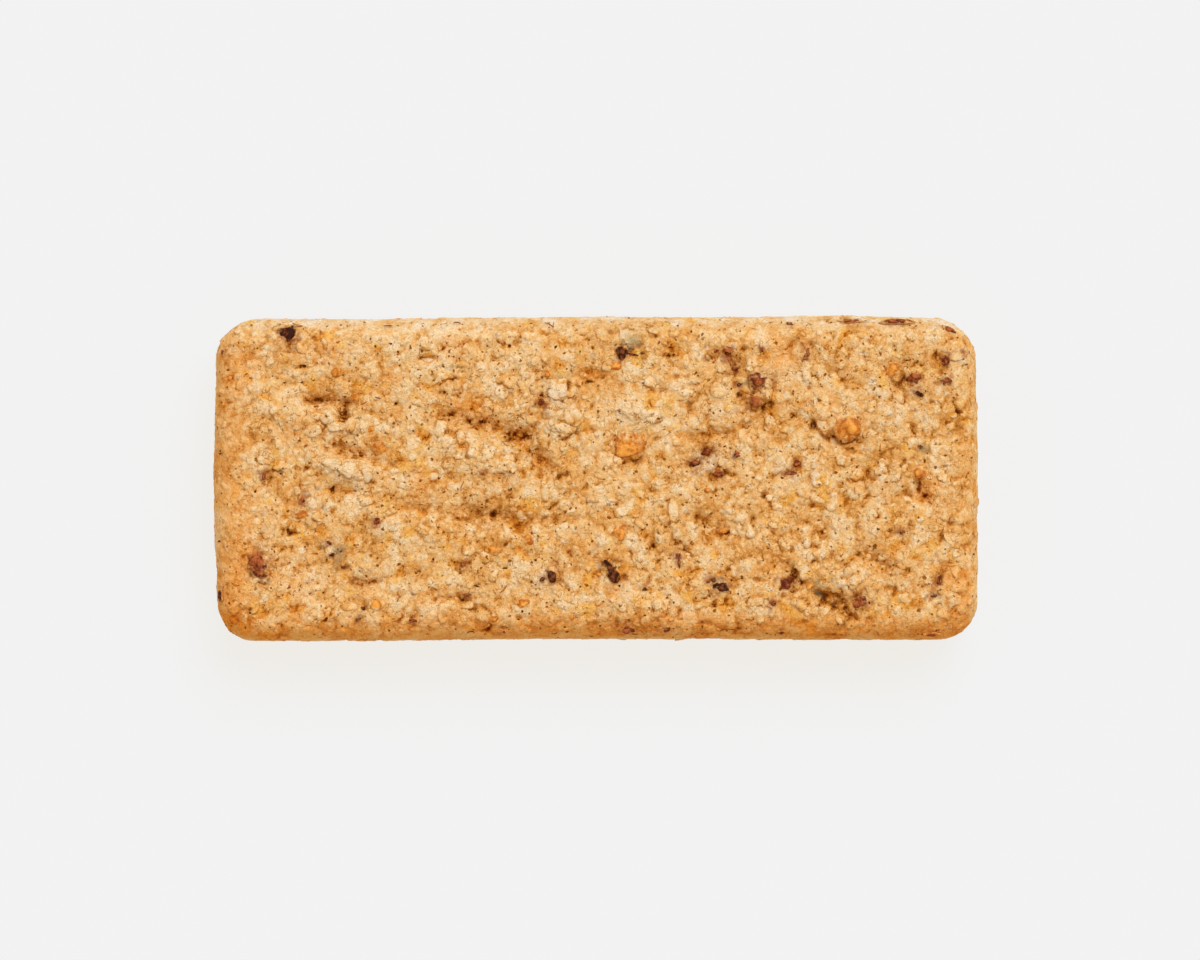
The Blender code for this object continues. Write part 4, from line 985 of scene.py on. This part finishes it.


# dark specks scattered in the crumb, and specks set in each pit that are painted shade in the pits
specksAndPitShade = {  # pitShare is a speck's length and width as shares of those of the pit that it lies in
    "salt": 55, "spacing": 2.3, "shares": (0.5, 0.6, 0.6), "length": (0.22, 0.44), "width": (0.18, 0.34),
    "thick": 0.10, "pitShare": (0.8, 0.75), "sink": 0.25, "rough": 0.6,
    "look": {"name": "speckAndPitShade", "dark": (72, 26, 0), "light": (166, 94, 30), "patch": 0.8,
             "roughness": 0.8, "bump": 0.03, "gloss": 0.02, "covered": 0.1, "dusted": 0.5},
}


def makeSpecks(surface):
    print("specksAndPitShade")
    kind = specksAndPitShade
    rng = np.random.default_rng(kind["salt"])
    index = scatter(surface, kind, kind["salt"] + 1)
    count = len(index)
    rows = np.array(pits, float)
    at = joined(placesOf(surface, index), placesAt(surface, rows[:, 0], rows[:, 1]))
    flat = np.vstack([randomSizes(rng, kind, count, ("length", "width")), rows[:, 2:4] * kind["pitShare"]])
    sizes = np.column_stack([flat, np.full(len(flat), kind["thick"])])
    turns = np.concatenate([rng.uniform(0, 2 * np.pi, count), np.radians(rows[:, 4])])
    # the specks in the pits are darker: painted shade
    lots = np.concatenate([rng.uniform(0.4, 1, count), rng.uniform(0.0, 0.5, len(rows))])
    sink = np.full(len(sizes), kind["sink"])
    return pressIn("specksAndPitShade", surface, kind, kind["salt"] + 2, fleckPebble, at, sizes, turns, sink, lots)
# Colours and finishes

def paint(red, green, blue):
    # a colour as a painter's 0 to 255 values, brought to linear light
    shares = [value / 255 for value in (red, green, blue)]
    return (*[v / 12.92 if v <= 0.04 else ((v + 0.055) / 1.055) ** 2.4 for v in shares], 1.0)


palette = {
    # the dark end of the crumb ramp is the painted shade of the deepest gaps
    "crumb": (  # from the deepest gap to the palest oat
        (0.00, paint(82, 30, 0)), (0.16, paint(140, 71, 7)), (0.32, paint(188, 119, 42)),
        (0.48, paint(219, 154, 78)), (0.62, paint(232, 173, 101)), (0.76, paint(237, 190, 127)),
        (0.89, paint(240, 201, 147)), (1.00, paint(241, 209, 165)),
    ),
    "amber": (0.98, 0.77, 0.33, 1.0),
    "toastandshading": (1.0, 0.70, 0.35, 1.0),
    "ashenAndLit": (0.95, 1.04, 1.30, 1.0),
    "ruddy": (0.50, 0.32, 0.28, 1.0),
    "marks": (0.34, 0.16, 0.01, 1.0),
    "fineDark": (0.88, 0.84, 0.75, 1.0),
    "fineLight": (1.045, 1.07, 1.14, 1.0),
    "greenGrey": paint(170, 148, 104),
}


def put(made, numbers):
    for key, value in numbers.items():
        made.inputs[key].default_value = value
    return made


def place(tree):
    return tree.nodes.new("ShaderNodeTexCoord").outputs["Object"]


def textureNoise(tree, vector, size, detail, roughness=0.55):
    numbers = {"Scale": 1 / (size * mm), "Detail": detail, "Roughness": roughness}
    made = put(tree.nodes.new("ShaderNodeTexNoise"), numbers)
    tree.links.new(vector, made.inputs["Vector"])
    return made.outputs["Fac"]


def feed(tree, socket, value):
    # a number or a colour goes on the socket itself, and anything else is linked to it
    if isinstance(value, (int, float, tuple)):
        socket.default_value = value
    else:
        tree.links.new(value, socket)


def arithmetic(tree, operation, *values):
    made = tree.nodes.new("ShaderNodeMath")
    made.operation = operation
    for socket, value in zip(made.inputs, values):
        feed(tree, socket, value)
    return made.outputs[0]


def between(tree, value, low, high, outLow=0.0, outHigh=1.0, kind="SMOOTHSTEP"):
    made = put(tree.nodes.new("ShaderNodeMapRange"),
               {"From Min": low, "From Max": high, "To Min": outLow, "To Max": outHigh})
    made.interpolation_type = kind
    tree.links.new(value, made.inputs["Value"])
    return made.outputs["Result"]


def withNoise(tree, value, noise, amount):
    # value + amount * (noise - 0.5)
    return arithmetic(tree, "ADD", value, arithmetic(tree, "MULTIPLY_ADD", noise, amount, -amount / 2))


def blended(tree, share, a, b, blend="MIX"):
    made = tree.nodes.new("ShaderNodeMix")
    made.data_type = "RGBA"
    made.blend_type = blend
    for socket, value in ((made.inputs["Factor"], share), (made.inputs[6], a), (made.inputs[7], b)):
        feed(tree, socket, value)
    return made.outputs[2]


def newGroup(name, inputs, outputs):
    group = bpy.data.node_groups.new(name, "ShaderNodeTree")
    for key, value in inputs.items():
        kind = "NodeSocketColor" if isinstance(value, tuple) else "NodeSocketFloat"
        group.interface.new_socket(key, in_out="INPUT", socket_type=kind).default_value = value
    for key, kind in outputs.items():
        group.interface.new_socket(key, in_out="OUTPUT", socket_type=kind)
    return group, group.nodes.new("NodeGroupInput"), group.nodes.new("NodeGroupOutput")


def cellTexture(tree, vector, size):
    made = put(tree.nodes.new("ShaderNodeTexVoronoi"), {"Scale": 1 / (size * mm)})
    tree.links.new(vector, made.inputs["Vector"])
    return made


def channels(tree, color):
    made = tree.nodes.new("ShaderNodeSeparateColor")
    tree.links.new(color, made.inputs[0])
    return made.outputs


def bentPlace(tree, here, size, reach):
    # the place, moved by up to half the reach each way, so that borders come out ragged
    noise = put(tree.nodes.new("ShaderNodeTexNoise"), {"Scale": 1 / (size * mm), "Detail": 2.0})
    tree.links.new(here, noise.inputs["Vector"])
    moved = tree.nodes.new("ShaderNodeVectorMath")
    moved.operation = "MULTIPLY_ADD"
    tree.links.new(noise.outputs["Color"], moved.inputs[0])
    moved.inputs[1].default_value = (reach * mm,) * 3
    tree.links.new(here, moved.inputs[2])
    return moved.outputs[0]


crumbNames = ("Pale", "Gapshade", "Toastandshading", "Green", "Amber", "Ruddy", "Even")


def crumbToneGroup():
    # golden crumb in fused chunks of many tones, with gaps browned as painted shade, marks, a rim that is
    # toasted and partly painted with light and shade, and stains
    outputs = {"Color": "NodeSocketColor", "Height": "NodeSocketFloat"}
    group, given, result = newGroup("crumbTone", {name: 0.0 for name in crumbNames}, outputs)

    def times(a, b):
        return arithmetic(group, "MULTIPLY", a, b)

    here = place(group)
    bent = bentPlace(group, here, 0.6, 0.7)
    fine = textureNoise(group, here, 0.22, 1.0, 0.5)
    mid = textureNoise(group, here, 1.0, 3.0, 0.6)

    # each chunk has its own tone, strongest at its middle and gone at its border, by the distance squared;
    # the lift makes the chunks paler at their middles on the whole, which paints shade at their borders
    tone = given.outputs["Pale"]
    domes = []
    rougher = between(group, given.outputs["Even"], 0.0, 1.0, 1.0, 0.5)
    for size, amount, lift in ((1.15, 0.90, 0.22), (0.58, 0.62, 0.22)):
        chunk = cellTexture(group, bent, size)
        square = times(chunk.outputs["Distance"], chunk.outputs["Distance"])
        dome = between(group, square, 0.46, 0.05)
        domes.append(dome)
        own = arithmetic(group, "SUBTRACT", channels(group, chunk.outputs["Color"])[0], 0.5 - lift / amount)
        own = times(times(own, amount), rougher)
        tone = arithmetic(group, "ADD", tone, times(own, dome))
    tone = withNoise(group, withNoise(group, tone, mid, 0.8), fine, 0.15)
    # painted shade: the gap share darkens the tone, in broken patches
    broken = between(group, textureNoise(group, here, 0.5, 3.0, 0.7), 0.36, 0.64, -1.1, -2.6)
    tone = arithmetic(group, "ADD", tone, times(given.outputs["Gapshade"], broken))

    # painted shade, brown, between the smaller chunks, tiny brown dots in some of the smallest cells, and
    # fine wisps
    gap = times(between(group, domes[1], 0.25, 0.0), between(group, mid, 0.40, 0.66, 0.0, 0.4))
    dots = cellTexture(group, bent, 0.68)
    dotSize = between(group, channels(group, dots.outputs["Color"])[0], 0.62, 1.0, 0.0, 0.42)
    dot = between(group, arithmetic(group, "SUBTRACT", dotSize, dots.outputs["Distance"]), 0.0, 0.14)
    dot = times(dot, between(group, mid, 0.60, 0.44, 0.25, 1.0))
    wisp = arithmetic(group, "SUBTRACT", textureNoise(group, bent, 0.9, 1.0), 0.5)
    wisp = arithmetic(group, "ABSOLUTE", wisp)
    wisp = times(between(group, wisp, 0.03, 0.0), between(group, mid, 0.56, 0.42, 0.0, 0.8))
    marks = times(arithmetic(group, "MAXIMUM", dot, wisp), rougher)
    tone = arithmetic(group, "SUBTRACT", tone, gap)

    ramp = group.nodes.new("ShaderNodeValToRGB")
    ramp.color_ramp.interpolation = "B_SPLINE"
    ramp.color_ramp.elements.remove(ramp.color_ramp.elements[1])
    for spot, color in palette["crumb"]:
        ramp.color_ramp.elements.new(spot).color = color
    ramp.color_ramp.elements.remove(ramp.color_ramp.elements[0])
    group.links.new(between(group, tone, -1.3, 1.6, kind="LINEAR"), ramp.inputs["Fac"])
    tint = ramp.outputs["Color"]
    # the toast-and-shading share browns the tint: toasting, and painted shade on the edges turned from the
    # lamp
    stains = (("Amber", 0.7, 0.1, 1.1), ("Toastandshading", 0.7, 0.0, 1.1), ("Ruddy", 1.8, 0.05, 0.80))
    for key, wobble, low, high in stains:
        share = between(group, withNoise(group, given.outputs[key], mid, wobble), low, high)
        tint = blended(group, share, tint, palette[key.lower()], "MULTIPLY")
    # paler and greyer where the toast-and-shading share is below zero: the cooler patches, and painted light
    # on the back edge
    ashenAndLit = between(group, withNoise(group, given.outputs["Toastandshading"], mid, 0.6), -0.1, -0.9, 0.0, 0.8)
    tint = blended(group, ashenAndLit, tint, palette["ashenAndLit"], "MULTIPLY")
    tint = blended(group, marks, tint, palette["marks"], "MULTIPLY")
    greenShare = between(group, withNoise(group, given.outputs["Green"], mid, 2.0), 0.15, 0.95, 0.0, 0.75)
    tint = blended(group, greenShare, tint, palette["greenGrey"])

    graded = blended(group, between(group, fine, 0.25, 0.75), palette["fineDark"], palette["fineLight"])
    calm = between(group, given.outputs["Gapshade"], 0.2, 1.2, 1.0, 0.2)
    group.links.new(blended(group, calm, tint, graded, "MULTIPLY"), result.inputs["Color"])
    height = arithmetic(group, "ADD", domes[0], times(domes[1], 0.7))
    height = arithmetic(group, "ADD", height, times(fine, 0.5))
    group.links.new(height, result.inputs["Height"])
    return group


def mottleGroup():
    # two colours in irregular patches, picked by noise and by each piece's own number, and lighter higher up
    # the piece: painted light on its top and painted shade at its foot
    inputs = {"Dark": paint(90, 40, 20), "Light": paint(220, 150, 80), "Size": 0.8, "Lot": 0.5, "Rise": 0.5}
    outputs = {"Color": "NodeSocketColor", "Height": "NodeSocketFloat"}
    group, given, result = newGroup("mottle", inputs, outputs)
    here = place(group)
    patch = group.nodes.new("ShaderNodeTexNoise")
    group.links.new(here, patch.inputs["Vector"])
    group.links.new(arithmetic(group, "DIVIDE", 1 / mm, given.outputs["Size"]), patch.inputs["Scale"])
    put(patch, {"Detail": 2.0, "Roughness": 0.6})
    fine = textureNoise(group, here, 0.25, 1.0)
    lifted = withNoise(group, withNoise(group, patch.outputs["Fac"], given.outputs["Lot"], 0.45), fine, 0.35)
    # painted light and shade: paler higher up the piece, darker at its foot
    lifted = withNoise(group, lifted, given.outputs["Rise"], 0.5)
    color = blended(group, between(group, lifted, 0.44, 0.92), given.outputs["Dark"], given.outputs["Light"])
    group.links.new(color, result.inputs["Color"])
    height = arithmetic(group, "ADD", patch.outputs["Fac"], arithmetic(group, "MULTIPLY", fine, 0.4))
    group.links.new(height, result.inputs["Height"])
    return group


crumbTone = crumbToneGroup()
mottle = mottleGroup()


def newMaterial(name, roughness, bump, gloss, soft=0.0):
    # a Principled shader that lets light a little way in, with a bump that its material's height feeds
    material = bpy.data.materials.new(name)
    material.use_nodes = True
    tree = material.node_tree
    shader = tree.nodes["Principled BSDF"]
    put(shader, {"Roughness": roughness, "Metallic": 0.0, "Specular IOR Level": gloss,
                 "Subsurface Weight": soft, "Subsurface Scale": 0.4 * mm,
                 "Subsurface Radius": (1.0, 0.9, 0.8)})
    lift = put(tree.nodes.new("ShaderNodeBump"), {"Strength": 1.0, "Distance": bump * mm})
    tree.links.new(lift.outputs["Normal"], shader.inputs["Normal"])
    return material, tree, shader, lift


def attribute(tree, name):
    made = tree.nodes.new("ShaderNodeAttribute")
    made.attribute_name = name
    return made.outputs["Fac"]


def useGroup(tree, group, given):
    made = tree.nodes.new("ShaderNodeGroup")
    made.node_tree = group
    for key, value in given.items():
        feed(tree, made.inputs[key], value)
    return made


def crumbHere(tree):
    return useGroup(tree, crumbTone, {name: attribute(tree, name.lower()) for name in crumbNames})


def crumbMaterial(name, bump, soft):
    material, tree, shader, lift = newMaterial(name, 0.8, bump, 0.04, soft)
    tone = crumbHere(tree)
    tree.links.new(tone.outputs["Color"], shader.inputs["Base Color"])
    tree.links.new(tone.outputs["Height"], lift.inputs["Height"])
    return material


def mottledMaterial(look):
    # a mottled piece, with crumb over its foot up to the covered share of its rise, and dusted on
    material, tree, shader, lift = newMaterial(look["name"], look["roughness"], look["bump"], look["gloss"])
    around = crumbHere(tree)
    rise = attribute(tree, "rise")
    tone = useGroup(tree, mottle, {"Dark": paint(*look["dark"]), "Light": paint(*look["light"]),
                                   "Size": look["patch"], "Lot": attribute(tree, "lot"), "Rise": rise})
    bare = withNoise(tree, rise, textureNoise(tree, place(tree), 0.7, 2.0, 0.6), look["dusted"])
    bare = between(tree, bare, look["covered"] - 0.35, look["covered"] + 0.35)
    shown = blended(tree, bare, around.outputs["Color"], tone.outputs["Color"])
    tree.links.new(shown, shader.inputs["Base Color"])
    tree.links.new(tone.outputs["Height"], lift.inputs["Height"])
    return material


def dress(piece, material):
    piece.data.materials.append(material)
    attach(piece, "root")


block, surface = makeBlock()
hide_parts("bar")
dress(block, crumbMaterial("bakedCrumb", 0.09, 0.4))

grainLook = crumbMaterial("looseGrain", 0.05, 0.0)
dress(makeGrains(surface, "oatGrains", oatGrains), grainLook)
dress(makeGrains(surface, "goldenCrumbs", goldenCrumbs), grainLook)
dress(makePlaced(surface, "oatFlakes", oatFlakes), grainLook)
for name, kind in (("nutPieces", nutPieces), ("fruitPieces", fruitPieces), ("darkBits", darkBits)):
    dress(makePlaced(surface, name, kind), mottledMaterial(kind["look"]))
dress(makeFlecks(surface), mottledMaterial(branFlecks["look"]))
dress(makeSpecks(surface), mottledMaterial(specksAndPitShade["look"]))


# Floor, light and camera

stage = {
    "floorGlow": (0.833, 0.801, 0.757, 1.0),
    "floorTint": (0.05, 0.08, 0.12, 1.0),
    "sky": 0.60,
    "skyTint": (1.0, 0.90, 0.76, 1.0),
    "lamp": 1.91,
    "lampTint": (1.0, 1.12, 1.28),
    "lampAngle": 38.0,
    "lampFrom": (0.26, 0.62, 1.0),
    "floorReach": 1500.0,
    "lens": 146.3,
    "height": 600.0,
    "aim": (0.53, -0.25),
}


def makeFloor():
    corners = np.array([[-1.0, -1, 0], [1, -1, 0], [1, 1, 0], [-1, 1, 0]]) * stage["floorReach"]
    floor = newPiece("floor", corners, np.array([[0, 1, 2, 3]]))
    material = bpy.data.materials.new("paleFloor")
    material.use_nodes = True
    shader = material.node_tree.nodes["Principled BSDF"]
    put(shader, {"Base Color": stage["floorTint"], "Roughness": 0.9, "Specular IOR Level": 0.0,
                 "Emission Color": stage["floorGlow"], "Emission Strength": 1.0})
    floor.data.materials.append(material)


def makeLight():
    world = bpy.data.worlds.new("softRoom")
    world.use_nodes = True
    put(world.node_tree.nodes["Background"], {"Color": stage["skyTint"], "Strength": stage["sky"]})
    bpy.context.scene.world = world
    lamp = bpy.data.lights.new("softLamp", "SUN")
    lamp.energy = stage["lamp"]
    lamp.color = stage["lampTint"]
    lamp.angle = math.radians(stage["lampAngle"])
    holder = bpy.data.objects.new("softLamp", lamp)
    away = np.array(stage["lampFrom"]) / np.linalg.norm(stage["lampFrom"])
    tilt = math.acos(away[2])
    holder.rotation_euler = (tilt, 0, math.atan2(away[0], -away[1]))
    bpy.context.scene.collection.objects.link(holder)


def makeCamera():
    camera = bpy.data.objects.new("camera", bpy.data.cameras.new("camera"))
    camera.data.lens = stage["lens"]
    camera.location = np.array([*stage["aim"], stage["height"] + form["topLevel"]]) * mm
    bpy.context.scene.collection.objects.link(camera)
    bpy.context.scene.camera = camera
    bpy.context.scene.view_settings.view_transform = "Standard"


makeFloor()
makeLight()
makeCamera()
